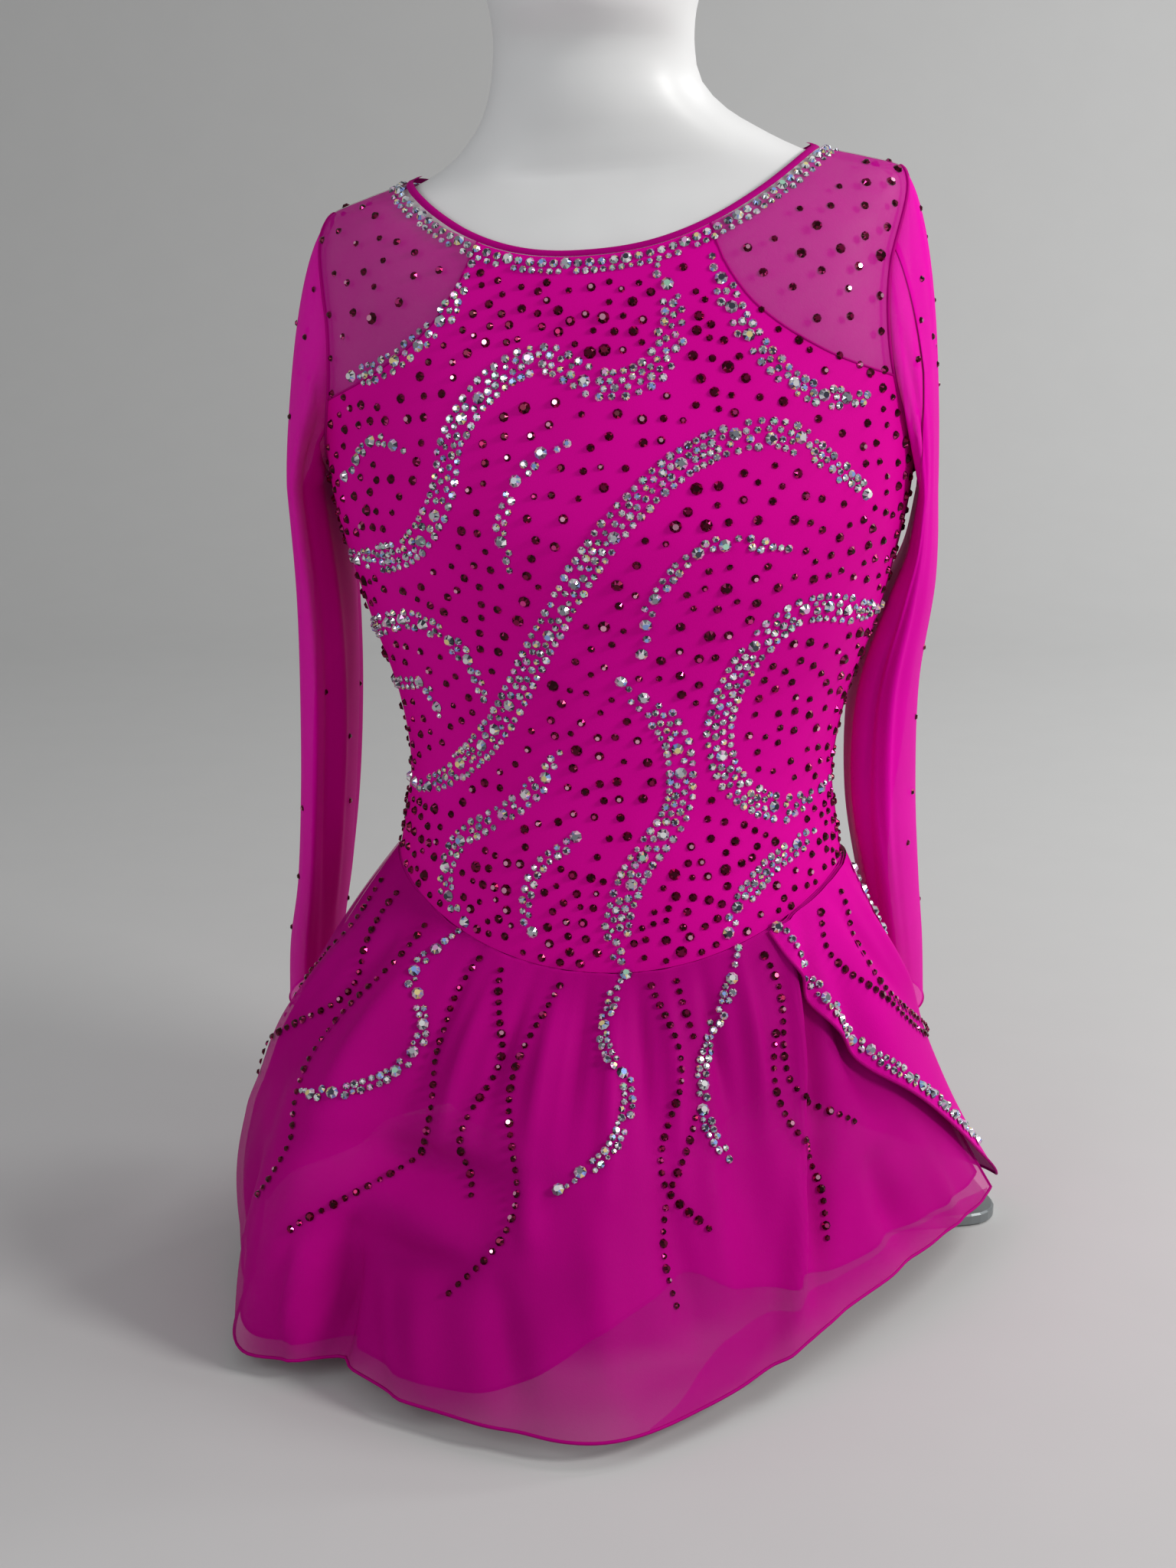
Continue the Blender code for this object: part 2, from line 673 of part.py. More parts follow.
def add_bodice(collection, cloth, sheer):
    low = BODY_EASE
    high = BODY_EASE + CLOTH
    body_wall("bodice_front", panel_grid(-1, FRONT_ROWS), low, high, collection, cloth)
    body_wall("bodice_back", panel_grid(1, BACK_ROWS), low, high, collection, cloth)
    for side, place in ((-1, "front"), (1, "back")):
        patch = yoke_patch(side)
        ups = spread(0, 1, YOKE_ARMHOLE_STEPS)
        grid = [[patch(s, t) for t in ups] for s in spread(0, 1, YOKE_LINE_STEPS)]
        body_wall("yoke_" + place + "_right", grid, low, high, collection, sheer)
        mirrored = [[(side * math.pi - angle, z) for angle, z in column] for column in grid]
        body_wall("yoke_" + place + "_left", mirrored, low, high, collection, sheer)


def add_binding(collection, cloth):
    """The narrow binding that stands on the neck edge, all the way round."""
    half = spread(0, YOKE_NECK_X, NECK_MIDDLE_STEPS)[:-1]
    half += [neck_across(t) for t in spread(0, 1, YOKE_ARMHOLE_STEPS)]
    across = [(-x, -1) for x in half[::-1]] + [(x, -1) for x in half[1:]]
    across += [(x, 1) for x in half[-2::-1]] + [(-x, 1) for x in half[1:-1]]
    inner = []
    outer = []
    for x, side in across:
        x = x or 1e-6
        z = neckline_z(x, side) + SEAM_GAP
        narrow = x * (1 - BINDING * BINDING_LEAN / NECK_X)
        high_z = neckline_z(x, side) + BINDING
        edge = ((angle_across(x, z, side), z), (angle_across(narrow, high_z, side), high_z))
        inner.append([body(a, h, BODY_EASE) for a, h in edge])
        outer.append([body(a, h, BODY_EASE + BINDING_THICK) for a, h in edge])
    wall("neck_binding", inner, outer, True, collection, cloth)


def add_sleeves(collection, sheer):
    for label, table, side in (("left", SLEEVE_LEFT, -1), ("right", SLEEVE_RIGHT, 1)):
        outer = []
        inner = []
        for i in range(1 - ARMHOLE_STEPS, ARMHOLE_STEPS + 1):
            turn = math.pi * i / ARMHOLE_STEPS
            shares = spread(0, 1, SLEEVE_ROWS)
            outer.append([sleeve_wall(table, side, turn, share, 0) for share in shares])
            inner.append([sleeve_wall(table, side, turn, share, LAYER) for share in shares])
        wall("sleeve_" + label, inner, outer, True, collection, sheer)


def table_line(rows, at):
    """Straight-line reading of a two-column table."""
    for low, high in zip(rows, rows[1:]):
        if at <= high[0]:
            return low[1] + (high[1] - low[1]) * (at - low[0]) / (high[0] - low[0])
    return rows[-1][1]


def add_skirt(collection, sheer):
    gap = SEAM_GAP / 2 / BODY_SIDE_RADIUS / DEG

    def layer(name, columns, out_at):
        inner = [[skirt(a, s, out_at(a, s), 0) for a, s in column] for column in columns]
        outer = [[skirt(a, s, out_at(a, s), LAYER) for a, s in column] for column in columns]
        wall(name, inner, outer, False, collection, sheer)

    def under_shares(angle):
        """The upper layer's shares near the seam, then fewer of its drop, down to the under layer's hem."""
        turn = SKIRT_SHARES[UNDER_SAME_SHARES]
        squeeze = (table_line(UNDER_HEM, angle) - turn) / (1 - turn)
        return [s if s <= turn else turn + (s - turn) * squeeze for s in SKIRT_SHARES]

    def wrap_out(angle, share):
        over = min(max((FRONT_END + WRAP_FADES - angle) / WRAP_FADES, 0), 1)
        eased = over * over * (3 - 2 * over)
        grown = WRAP_GROWS * min(share / LAYERS_PART_BY, 1)
        return UNDER_OUT + (WRAP_OUT - UNDER_OUT + grown) * eased

    angles = spread(SIDE_SEAM + gap, FRONT_END, FRONT_COLUMNS)
    layer(
        "skirt_front_upper",
        [[(a, s) for s in SKIRT_SHARES] for a in angles],
        lambda a, s: UPPER_OUT + UPPER_GROWS * min(s / LAYERS_PART_BY, 1),
    )
    layer("skirt_front_under", [[(a, s) for s in under_shares(a)] for a in angles], lambda a, s: UNDER_OUT)
    end = SIDE_SEAM + 360 - gap
    edge = [(smooth_table(WRAP_EDGE, s, 1), s) for s in SKIRT_SHARES]
    columns = []
    for t in spread(0, 1, WRAP_EDGE_COLUMNS)[:-1]:
        columns.append([(start + (WRAP_LEANS_TO - start) * t, s) for start, s in edge])
    for a in spread(WRAP_LEANS_TO, end, WRAP_REST_COLUMNS):
        columns.append([(a, s) for s in SKIRT_SHARES])
    layer("skirt_back_wrap", columns, wrap_out)


def add_briefs(collection, cloth):
    trim = SEAM_GAP / 2
    low = BRIEFS_OUT
    high = low + LAYER
    for side, place in ((-1, "front"), (1, "back")):
        columns = []
        count = 16
        edge = angle_across(GUSSET_HALF, BODY[0][0], side)
        flat = abs(side * math.pi / 2 - edge)
        for i in range(count + 1):
            angle = side * (math.pi * i / count)
            edge_turn = trim / BODY_SIDE_RADIUS
            angle = side * min(max(abs(angle), edge_turn), math.pi - edge_turn)
            beyond = max(abs(angle - side * math.pi / 2) - flat, 0) / (math.pi / 2 - flat)
            foot = BODY[0][0] + (LEG_SIDE_Z - BODY[0][0]) * (1 - (1 - beyond) ** 2) ** LEG_POWER
            head = basque_z(angle) - trim
            rises = [t**BRIEFS_CROWDING for t in spread(0, 1, BRIEFS_ROWS)]
            columns.append([(angle, foot + (head - foot) * rise) for rise in rises])
        body_wall("briefs_" + place, columns, low, high, collection, cloth)
    inner = []
    outer = []
    for x in spread(-GUSSET_HALF, GUSSET_HALF, 4):
        front = upright(angle_across(x or 1e-6, BODY[0][0], -1), BODY[0][0]).y - high
        back = upright(angle_across(x or 1e-6, BODY[0][0], 1), BODY[0][0]).y + high
        ys = spread(front, back, 4)
        inner.append([Vector((x, y, GUSSET_Z)) for y in ys])
        outer.append([Vector((x, y, GUSSET_Z - LAYER)) for y in ys])
    wall("briefs_gusset", inner, outer, False, collection, cloth)


def main():
    for obj in list(bpy.data.objects):
        bpy.data.objects.remove(obj, do_unlink=True)
    collection = bpy.data.collections.new(NAME)
    bpy.context.scene.collection.children.link(collection)
    cloth = material("magenta_spandex", MAGENTA, 0.55)
    sheer = material("magenta_power_mesh", MESH_MAGENTA, 0.6)
    white = material("white_form", WHITE, 0.4)
    grey = material("grey_stand", GREY, 0.3, 0.8)
    add_form(collection, white)
    add_stand(collection, grey)
    add_bodice(collection, cloth, sheer)
    add_binding(collection, cloth)
    add_sleeves(collection, sheer)
    add_skirt(collection, sheer)
    add_briefs(collection, cloth)


main()
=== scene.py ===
"""Looks of the figure skating dress on its limbless dress form.

Every piece of cloth is a fine thin shell on the same shapes as its solid, which are functions of named
sizes: the body (an angle round it and a height), a hanging sleeve, and the skirt (an angle round it and a
share of its drop). Front is towards -Y, and left and right are the viewer's, facing it.
"""

import bisect
import functools
import itertools
import random
from math import acos, atan2, copysign, cos, degrees, dist, exp, floor, hypot, pi, radians, sin

import bpy
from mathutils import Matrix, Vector


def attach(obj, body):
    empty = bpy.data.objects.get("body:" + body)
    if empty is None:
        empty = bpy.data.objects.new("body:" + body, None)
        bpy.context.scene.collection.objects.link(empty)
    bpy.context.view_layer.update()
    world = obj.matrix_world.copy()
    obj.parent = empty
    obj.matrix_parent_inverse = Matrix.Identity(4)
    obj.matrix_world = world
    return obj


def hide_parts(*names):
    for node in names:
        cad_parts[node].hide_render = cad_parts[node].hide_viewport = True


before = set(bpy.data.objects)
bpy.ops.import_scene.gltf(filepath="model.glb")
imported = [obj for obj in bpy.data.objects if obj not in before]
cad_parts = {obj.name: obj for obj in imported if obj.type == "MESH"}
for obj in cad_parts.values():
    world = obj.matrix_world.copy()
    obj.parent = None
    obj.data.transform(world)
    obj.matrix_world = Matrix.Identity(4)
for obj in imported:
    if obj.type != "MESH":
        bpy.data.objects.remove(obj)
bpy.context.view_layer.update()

# The axis of the body in the frame
AXIS = Vector((-0.0038, -0.0023, 0.0))
# Used in place of 0 across, which has no side
NEARLY_ZERO = 1e-6
# How far out the second point is from which an outward direction is taken
OUT_STEP = 0.01

# Camera: the lens, its distance from the body's axis, its height, how it is turned, and how far to the right
# of the view's middle the axis lies
CAMERA_LENS = 54.1
CAMERA_DISTANCE = 1.42
CAMERA_HEIGHT = 0.69
CAMERA_PITCH = radians(15)
CAMERA_TURN = radians(9)
AXIS_RIGHT_OF_VIEW = 0.02

# Cloth: its gap at a seam, its thickness, and how far out of the body it starts and its shell lies
SEAM_GAP = 0.0003
CLOTH = 0.0012
BODY_EASE = 0.0010
SHELL_OUT = 0.0020
BRIEFS_SHELL_OUT = 0.0004
# The form's skin lies inside the body's surface, and deeper under the briefs
FORM_INSET = 0.0022
FORM_INSET_MORE = 0.0012
FORM_BRIEFS_Z = 0.200
FORM_ROW_HEIGHT = 0.008
FORM_TURNS = 112
FORM_SHARP_FROM = radians(50)

# Body: height of each section, half width, depth in front of the axis and behind it, shift of its middle
# forward, and roundness (2 is an ellipse)
BODY = (
    # height, half_width, front, back, forward, roundness
    (0.076, 0.085, 0.050, 0.055, 0.000, 2.0),
    (0.088, 0.108, 0.066, 0.072, 0.000, 2.0),
    (0.110, 0.124, 0.082, 0.088, 0.000, 2.0),
    (0.150, 0.136, 0.095, 0.102, 0.000, 2.0),
    (0.200, 0.141, 0.102, 0.110, 0.000, 2.1),
    (0.250, 0.139, 0.101, 0.104, 0.000, 2.1),
    (0.290, 0.133, 0.095, 0.094, 0.000, 2.1),
    (0.325, 0.129, 0.090, 0.087, 0.000, 2.1),
    (0.370, 0.136, 0.094, 0.090, 0.000, 2.1),
    (0.420, 0.153, 0.105, 0.096, 0.000, 2.1),
    (0.460, 0.164, 0.116, 0.099, 0.000, 2.1),
    (0.490, 0.171, 0.120, 0.100, 0.000, 2.1),
    (0.530, 0.176, 0.112, 0.099, 0.000, 2.1),
    (0.580, 0.178, 0.098, 0.094, 0.000, 2.2),
    (0.615, 0.177, 0.088, 0.085, 0.000, 2.2),
    (0.640, 0.176, 0.077, 0.074, 0.000, 2.2),
    (0.654, 0.174, 0.066, 0.064, 0.000, 2.2),
    (0.662, 0.171, 0.058, 0.057, 0.000, 2.1),
    (0.668, 0.165, 0.052, 0.052, 0.000, 2.1),
    (0.674, 0.146, 0.048, 0.050, 0.000, 2.1),
    (0.681, 0.122, 0.047, 0.050, 0.000, 2.1),
    (0.690, 0.102, 0.049, 0.051, 0.001, 2.0),
    (0.701, 0.086, 0.051, 0.053, 0.002, 2.0),
    (0.713, 0.073, 0.053, 0.054, 0.004, 2.0),
    (0.730, 0.063, 0.053, 0.054, 0.007, 2.0),
    (0.748, 0.060, 0.053, 0.054, 0.010, 2.0),
    (0.758, 0.060, 0.062, 0.055, 0.012, 2.0),
    (0.768, 0.061, 0.074, 0.058, 0.013, 2.0),
    (0.785, 0.065, 0.082, 0.066, 0.014, 2.0),
    (0.815, 0.072, 0.087, 0.080, 0.014, 2.0),
    (0.850, 0.077, 0.090, 0.092, 0.012, 2.0),
    (0.885, 0.078, 0.089, 0.094, 0.010, 2.0),
    (0.915, 0.072, 0.080, 0.086, 0.008, 2.0),
    (0.940, 0.058, 0.062, 0.068, 0.006, 2.0),
    (0.955, 0.038, 0.040, 0.045, 0.004, 2.0),
    (0.962, 0.014, 0.015, 0.017, 0.003, 2.0),
)

# Posture: above the waist the body leans to its right, so that one shoulder is lower and the chest lies a
# little aside, and the neck stands upright again, a little further aside
LEAN = radians(4.8)
LEAN_FROM = 0.42
LEAN_TO = 0.62
CHEST_ASIDE = 0.0062
NECK_ASIDE = 0.0090
NECK_BENDS = (0.688, 0.740)

# Bodice
NECK_X = 0.121
NECK_POINT_Z = 0.6813
NECK_FRONT_Z = 0.634
NECK_BACK_Z = 0.664
NECK_POWER = 2.3
BINDING = 0.0035
BINDING_LEAN = 0.7
BINDING_THICK = 0.0015
BINDING_EDGE = 0.35
BINDING_SWELL = 0.6
BINDING_ROWS = 5
PANEL_CROWDING = 1.4
PANEL_FAN = 1.5
BODY_SIDE_RADIUS = 0.13
SHOULDER_DEPTH = 0.05
ARMHOLE_BOTTOM_Z = 0.510
ARMHOLE_TOP_Z = 0.667
ARMHOLE_ANGLE = radians(26)
ARMHOLE_POWER = 0.6
ARMHOLE_HALF_WIDTH = 0.050
# Steps round half an armhole, from the shoulder to the underarm, and how many of them the yoke takes
ARMHOLE_STEPS = 32
YOKE_ARMHOLE_STEPS = 20
# The yoke's seam with the opaque panel, from the neckline to the armhole, as (across, height)
YOKE_NECK_X = 0.066
YOKE_LINE_FRONT = ((0.074, 0.627), (0.092, 0.602), (0.126, 0.577))
YOKE_LINE_BACK = ((0.079, 0.648), (0.096, 0.620), (0.126, 0.590))
YOKE_LINE_STEPS = 24
NECK_MIDDLE_STEPS = 16

# Seam between bodice and skirt: height at the sides, and how much lower it dips in front and behind
BASQUE_SIDE_Z = 0.270
BASQUE_FRONT_DIP = 0.048
BASQUE_BACK_DIP = 0.020

# Briefs
LEG_SIDE_Z = 0.165
GUSSET_HALF = 0.032
GUSSET_Z = 0.0752
LEG_POWER = 0.75
BRIEFS_COLUMNS = 72
GUSSET_UNDER = 0.0005

# Skirt: angle round the body (0 is the right side, -90 the front), radius and height of the hem there, and
# how much the fall bulges above a straight line
SKIRT = (
    # angle, hem_radius, hem_height, bulge
    (-185, 0.226, 0.024, 0.80),
    (-166, 0.235, 0.018, 1.10),
    (-147, 0.249, 0.014, 1.15),
    (-133, 0.276, 0.012, 0.70),
    (-123, 0.249, 0.015, 0.45),
    (-108, 0.258, 0.015, 0.40),
    (-95, 0.268, 0.014, 0.45),
    (-83, 0.271, 0.013, 0.35),
    (-70, 0.241, 0.016, 0.20),
    (-58, 0.216, 0.021, 0.10),
    (-50, 0.211, 0.026, 0.20),
    (-40, 0.199, 0.031, 0.05),
    (-24, 0.201, 0.036, 0.00),
    (-6, 0.212, 0.037, 0.00),
    (8, 0.233, 0.031, -0.15),
    (18, 0.246, 0.028, -0.50),
    (30, 0.224, 0.030, -0.35),
    (45, 0.204, 0.032, 0.10),
    (60, 0.214, 0.032, 0.25),
    (75, 0.194, 0.032, 0.25),
    (90, 0.210, 0.032, 0.25),
    (105, 0.192, 0.032, 0.25),
    (120, 0.210, 0.032, 0.25),
    (135, 0.194, 0.032, 0.20),
    (150, 0.206, 0.030, 0.05),
    (163, 0.200, 0.028, 0.10),
)
SIDE_SEAM = -175
FRONT_END = 13
# The skirt's back piece wraps round to the front: its edge, as (share of the drop, angle)
WRAP_EDGE = ((0.00, -47), (0.26, -35), (0.50, -19), (0.69, -3), (0.85, 9), (1.00, 18))
# The under layer's hem, as (angle, the share of the upper layer's drop that it reaches)
UNDER_HEM = (
    (-175, 0.955), (-104, 0.950), (-95, 0.910), (-89, 0.830), (-84, 0.760), (-77, 0.720),
    (-70, 0.705), (-62, 0.790), (-50, 0.860), (-39, 0.905), (-20, 0.930), (13, 0.955),
)
# Distance of each layer out from the skirt's surface at the seam, and how much it grows down to the hem
UNDER_OUT = 0.0005
UPPER_OUT = 0.0021
UPPER_GROWS = 0.0028
WRAP_OUT = 0.0038
WRAP_GROWS = 0.0090
LAYERS_PART_BY = 0.35
WRAP_FADES = 20

# Sleeves: height, middle across, half width, middle behind the axis, half depth, in the leaning posture
SLEEVE_LEFT = (
    # height, middle_x, half_width, middle_y, half_depth
    (0.495, -0.1910, 0.0115, 0.008, 0.056),
    (0.430, -0.1880, 0.0140, 0.013, 0.053),
    (0.370, -0.1890, 0.0150, 0.018, 0.050),
    (0.300, -0.1940, 0.0145, 0.026, 0.046),
    (0.230, -0.2040, 0.0145, 0.044, 0.042),
    (0.180, -0.2150, 0.0160, 0.061, 0.038),
    (0.135, -0.2220, 0.0155, 0.076, 0.036),
)
SLEEVE_RIGHT = (
    # height, middle_x, half_width, middle_y, half_depth
    (0.495, 0.1825, 0.0070, 0.028, 0.055),
    (0.460, 0.1795, 0.0110, 0.038, 0.054),
    (0.430, 0.1730, 0.0165, 0.046, 0.053),
    (0.370, 0.1600, 0.0220, 0.054, 0.050),
    (0.300, 0.1590, 0.0230, 0.062, 0.046),
    (0.230, 0.1660, 0.0200, 0.084, 0.042),
    (0.185, 0.1715, 0.0180, 0.102, 0.038),
    (0.135, 0.1750, 0.0165, 0.122, 0.036),
)
SLEEVE_CAP = 5
SLEEVE_ROWS = 14
CAP_LEAVE_OUT = 0.33
CAP_LEAVE_DOWN = 0.45
# How much the sleeve's outward direction turns to the front and back, and how far its shell lies inside
SLEEVE_FRONT_TURN = 0.4
SLEEVE_SHELL_IN = 0.0004

# The skirt's shells stand this far out inside their solids' walls
SKIRT_SHELL = 0.0005

# How closely the shells are divided
PANEL_ROWS = 56
SKIRT_ROWS = 64
SKIRT_COLUMNS = 180
# The wrap's columns lean from its edge until they stand upright at this angle
WRAP_UPRIGHT = 60
WRAP_LEANING_COLUMNS = 64
WRAP_UPRIGHT_COLUMNS = 120
SLEEVE_TURNS = 72
SLEEVE_LEVELS = 96
BRIEFS_ROWS = 16
GUSSET_COLUMNS = 8
GUSSET_ROWS = 12

# Seams, hems and edges: the strip over each shoulder, as shares of the yoke's height, and the others' radii
SHOULDER_SEAM_SHARES = (0.93, 0.965, 1.0)
SHOULDER_SEAM_OUT = 0.0004
YOKE_SEAM_RADIUS = 0.0007
BASQUE_SEAM_RADIUS = 0.0005
BASQUE_SEAM_IN = 0.0004
BASQUE_SEAM_TURNS = 240
ARMHOLE_SEAM_RADIUS = 0.0012
ARMHOLE_SEAM_TURNS = 96
SIDE_SEAM_RADIUS = 0.0006
SIDE_SEAM_STEPS = 60
CUFF_HEM_RADIUS = 0.0008
SKIRT_HEM_RADIUS = 0.0010
LEG_EDGE_RADIUS = 0.0009
# The front layers' hems run on up the layers' end to this row of the grid
HEM_RUNS_UP_TO = 20
HEM_TURNED_IN = 0.0014
# The strip over the skirt's side seam: degrees round from the seam, how far out its middle is at the hem, and
# how far it lies over the cloth
SIDE_STRIP_STEPS = (0.3, -0.1, -0.5)
SIDE_STRIP_MIDDLE_OUT = 0.0032
SIDE_STRIP_OVER = 0.0003

# Folds of the skirt that are too small for its solid, each a soft ridge (or trough) along a line; this many
# degrees count as the whole drop, and a fold ends at so many widths and fades to these shares of its line
CREASE_DEGREES = 60
CREASE_REACH = 2.5
CREASE_ENDS = (0.08, 0.92)
SKIRT_CREASES = (
    # start angle, start share, end angle, end share, width in degrees, height
    # the long pleat beside the wrap's edge, with the hollow on its right
    (-41, 0.00, -44, 0.60, 1.9, 0.0075),
    (-44, 0.50, -57, 1.06, 2.2, 0.0085),
    (-36, 0.05, -38, 0.62, 3.0, -0.0095),
    (-38, 0.50, -50, 1.04, 3.4, -0.0100),
    (-29, 0.16, -17, 0.70, 4.6, -0.0120),
    (-26, 0.64, -20, 1.04, 4.6, -0.0100),
    (-8, 0.80, -4, 1.04, 3.0, 0.0045),
    # the swell low on the left and the hollow over it
    (-138, 0.51, -94, 0.47, 2.8, -0.0100),
    (-132, 0.59, -100, 0.60, 4.4, 0.0085),
    (-121, 0.70, -100, 0.68, 2.6, -0.0060),
    (-129, 0.66, -126, 1.06, 1.4, 0.0130),
    (-124.5, 0.68, -121.5, 1.06, 1.9, -0.0170),
    (-118, 0.74, -108, 1.04, 1.5, 0.0045),
    (-97, 0.42, -94, 0.62, 1.9, 0.0055),
    (-112, 0.70, -106, 1.04, 3.2, 0.0060),
    (-99, 0.64, -93, 1.00, 2.8, -0.0070),
    (-86, 0.48, -82, 0.90, 2.8, 0.0050),
    (-75, 0.44, -70, 0.92, 2.6, -0.0060),
    (-65, 0.30, -64, 0.96, 3.0, 0.0050),
    # the deep fold at the left hip
    (-139, 0.04, -148, 0.46, 3.4, -0.0110),
    (-129, 0.04, -134, 0.44, 2.8, 0.0080),
    (-153, 0.10, -160, 0.60, 3.2, 0.0085),
    (-146, 0.55, -150, 1.04, 3.4, -0.0095),
    (-162, 0.40, -163, 1.04, 3.0, 0.0060),
    # gathers under the basque
    (-118, 0.02, -122, 0.38, 1.9, -0.0058),
    (-111, 0.02, -114, 0.44, 1.7, 0.0052),
    (-103, 0.02, -106, 0.38, 1.6, -0.0052),
    (-96, 0.00, -97, 0.40, 1.4, 0.0060),
    (-91, 0.00, -91, 0.36, 1.3, -0.0058),
    (-86, 0.00, -84, 0.46, 1.4, 0.0062),
    (-81, 0.00, -78, 0.38, 1.4, -0.0056),
    (-75, 0.00, -71, 0.48, 1.8, 0.0056),
    (-66, 0.02, -61, 0.40, 1.8, -0.0060),
    (-56, 0.02, -53, 0.46, 1.8, 0.0058),
    # the wrapped piece, sides and back
    (-22, 0.04, 2, 0.44, 2.2, -0.0050),
    (-8, 0.04, 12, 0.50, 2.4, 0.0048),
    (10, 0.10, 20, 0.62, 2.4, -0.0055),
    (24, 0.30, 26, 1.04, 2.6, -0.0060),
    (33, 0.05, 35, 1.04, 2.8, 0.0070),
    (43, 0.15, 46, 0.90, 2.6, -0.0060),
    (56, 0.05, 54, 0.75, 3.0, -0.0055),
    (68, 0.30, 70, 1.04, 2.8, 0.0070),
    (84, 0.05, 81, 0.70, 3.0, 0.0055),
    (97, 0.20, 96, 1.04, 2.6, -0.0070),
    (112, 0.05, 115, 0.85, 3.4, 0.0062),
    (127, 0.25, 124, 1.04, 2.8, -0.0055),
    (142, 0.05, 140, 1.04, 3.4, 0.0070),
    (157, 0.30, 160, 0.95, 2.8, -0.0062),
    (173, 0.10, 170, 1.04, 3.4, -0.0070),
)
# Where the upper layer's hem lies turned under, as (angle, the share up to which the turned strip reaches)
HEM_TURNED = (
    (-78, 0.995), (-74, 0.965), (-70, 0.915), (-66, 0.880), (-58, 0.880),
    (-50, 0.905), (-36, 0.925), (-18, 0.940), (2, 0.965), (12, 0.995),
)
HEM_TURNED_COLUMNS = 100
HEM_TURNED_ROWS = 8
# Creases of the sleeves, by the way round from the outer edge in degrees (less than 0 is the left sleeve's
# front and the right sleeve's back) and the share of the length
SLEEVE_CREASES = (
    # start turn, start share, end turn, end share, width in degrees, height
    # up and down the right sleeve's front, and across it
    (64, 0.42, 84, 0.80, 7, 0.0034),
    (100, 0.40, 106, 0.92, 8, -0.0030),
    (128, 0.38, 122, 0.84, 8, 0.0030),
    (112, 0.04, 122, 0.34, 7, 0.0034),
    (138, 0.05, 128, 0.30, 7, -0.0032),
    (88, 0.06, 84, 0.40, 8, -0.0030),
    (52, 0.20, 120, 0.34, 10, 0.0034),
    (40, 0.34, 100, 0.46, 11, -0.0028),
    (70, 0.52, 140, 0.60, 10, -0.0030),
    (80, 0.68, 150, 0.76, 12, 0.0026),
    (60, 0.86, 130, 0.92, 12, 0.0022),
    # the same of the left sleeve
    (-152, 0.40, -160, 0.92, 8, 0.0032),
    (-128, 0.44, -134, 0.90, 7, -0.0030),
    (-104, 0.40, -98, 0.86, 7, 0.0030),
    (-118, 0.05, -124, 0.36, 7, -0.0034),
    (-96, 0.06, -92, 0.34, 8, 0.0030),
    (-144, 0.10, -150, 0.38, 8, 0.0030),
    (-60, 0.18, -130, 0.30, 10, 0.0030),
    (-84, 0.36, -158, 0.46, 11, -0.0030),
    (-70, 0.54, -150, 0.62, 11, 0.0026),
    (-90, 0.70, -160, 0.78, 11, -0.0026),
    (-60, 0.84, -120, 0.90, 12, 0.0020),
)
# The loose cloth of each sleeve lies folded over on its front, as (share down it, from turn, to turn)
SLEEVE_FOLD_LEFT = (
    (0.10, 128, 130), (0.22, 132, 196), (0.34, 126, 208), (0.46, 118, 214),
    (0.60, 100, 216), (0.76, 97, 216), (1.00, 98, 212),
)
SLEEVE_FOLD_RIGHT = (
    (0.20, 60, 62), (0.38, 32, 130), (0.50, 32, 132), (0.63, 45, 130),
    (0.76, 80, 120), (0.88, 84, 116), (1.00, 84, 112),
)
# The turn at which the sleeve's cloth starts and ends on its way round
FOLD_START = radians(-100)
FOLD_DEPTH = 0.0007
FOLD_COLUMNS = 14
FOLD_BEND = 0.02
# The folded cloth comes out again over this much turn, and folds and creases deepen down to these shares
FOLD_OUT_OVER = 0.35
FOLD_DEEPENS_BY = 0.2
CREASES_DEEPEN_BY = 0.12

# Floor, which curves up into a backdrop, in metres along and across the camera's view
FLOOR_NEAR = (-3.2, -1.0)
FLOOR_DEPTH = 1.9
FLOOR_CURVE = 1.3
FLOOR_CURVE_STEPS = 12
FLOOR_TOP = 2.8
FLOOR_HALF_WIDTH = 4.0
FLOOR_BELOW = 0.0004
LIGHTS = (
    # name, place as right, ahead and up, what it is aimed at, size, power, colour
    ("key", (1.75, -0.95, 1.45), (0, 0, 0.35), 0.6, 28.5, (1.0, 0.99, 0.97)),
    ("fill", (-0.90, -1.10, 0.95), (0, 0, 0.35), 0.8, 4.4, (0.96, 0.98, 1.0)),
    ("backdrop", (1.90, 1.30, 1.90), (0.90, 2.80, 0.30), 0.9, 26, (1.0, 1.0, 1.0)),
    ("side", (1.20, 0.25, 1.40), (0.80, 0.75, 0.20), 0.7, 8, (1.0, 1.0, 1.0)),
)
WORLD_COLOUR = (0.93, 0.94, 0.95, 1)
WORLD_STRENGTH = 0.37

# Colours, each a darker and a lighter one between which the cloth changes slowly
KNIT = ((0.63, 0.0004, 0.275), (0.70, 0.0006, 0.315))
WRAP = ((0.59, 0.0004, 0.280), (0.67, 0.0006, 0.320))
YOKE = ((0.50, 0.0004, 0.255), (0.57, 0.0006, 0.290))
# The sleeves' mesh is painted lighter than the same mesh elsewhere, to make up for the shade that its folded
# layers cast on each other
SLEEVE_PAINTED_LIGHTER = ((0.70, 0.0003, 0.355), (0.78, 0.0004, 0.400))
LAYERS = ((0.46, 0.0004, 0.218), (0.54, 0.0006, 0.260))
SEAM = ((0.36, 0.0004, 0.165), (0.44, 0.0006, 0.200))
# How fine the noise is that changes the colour of cloth, its cover, the colour of hard things and their grain
CLOTH_CHANGE = 9.0
COVER_CHANGE = 60.0
HARD_CHANGE = 14.0
HARD_GRAIN = 400.0
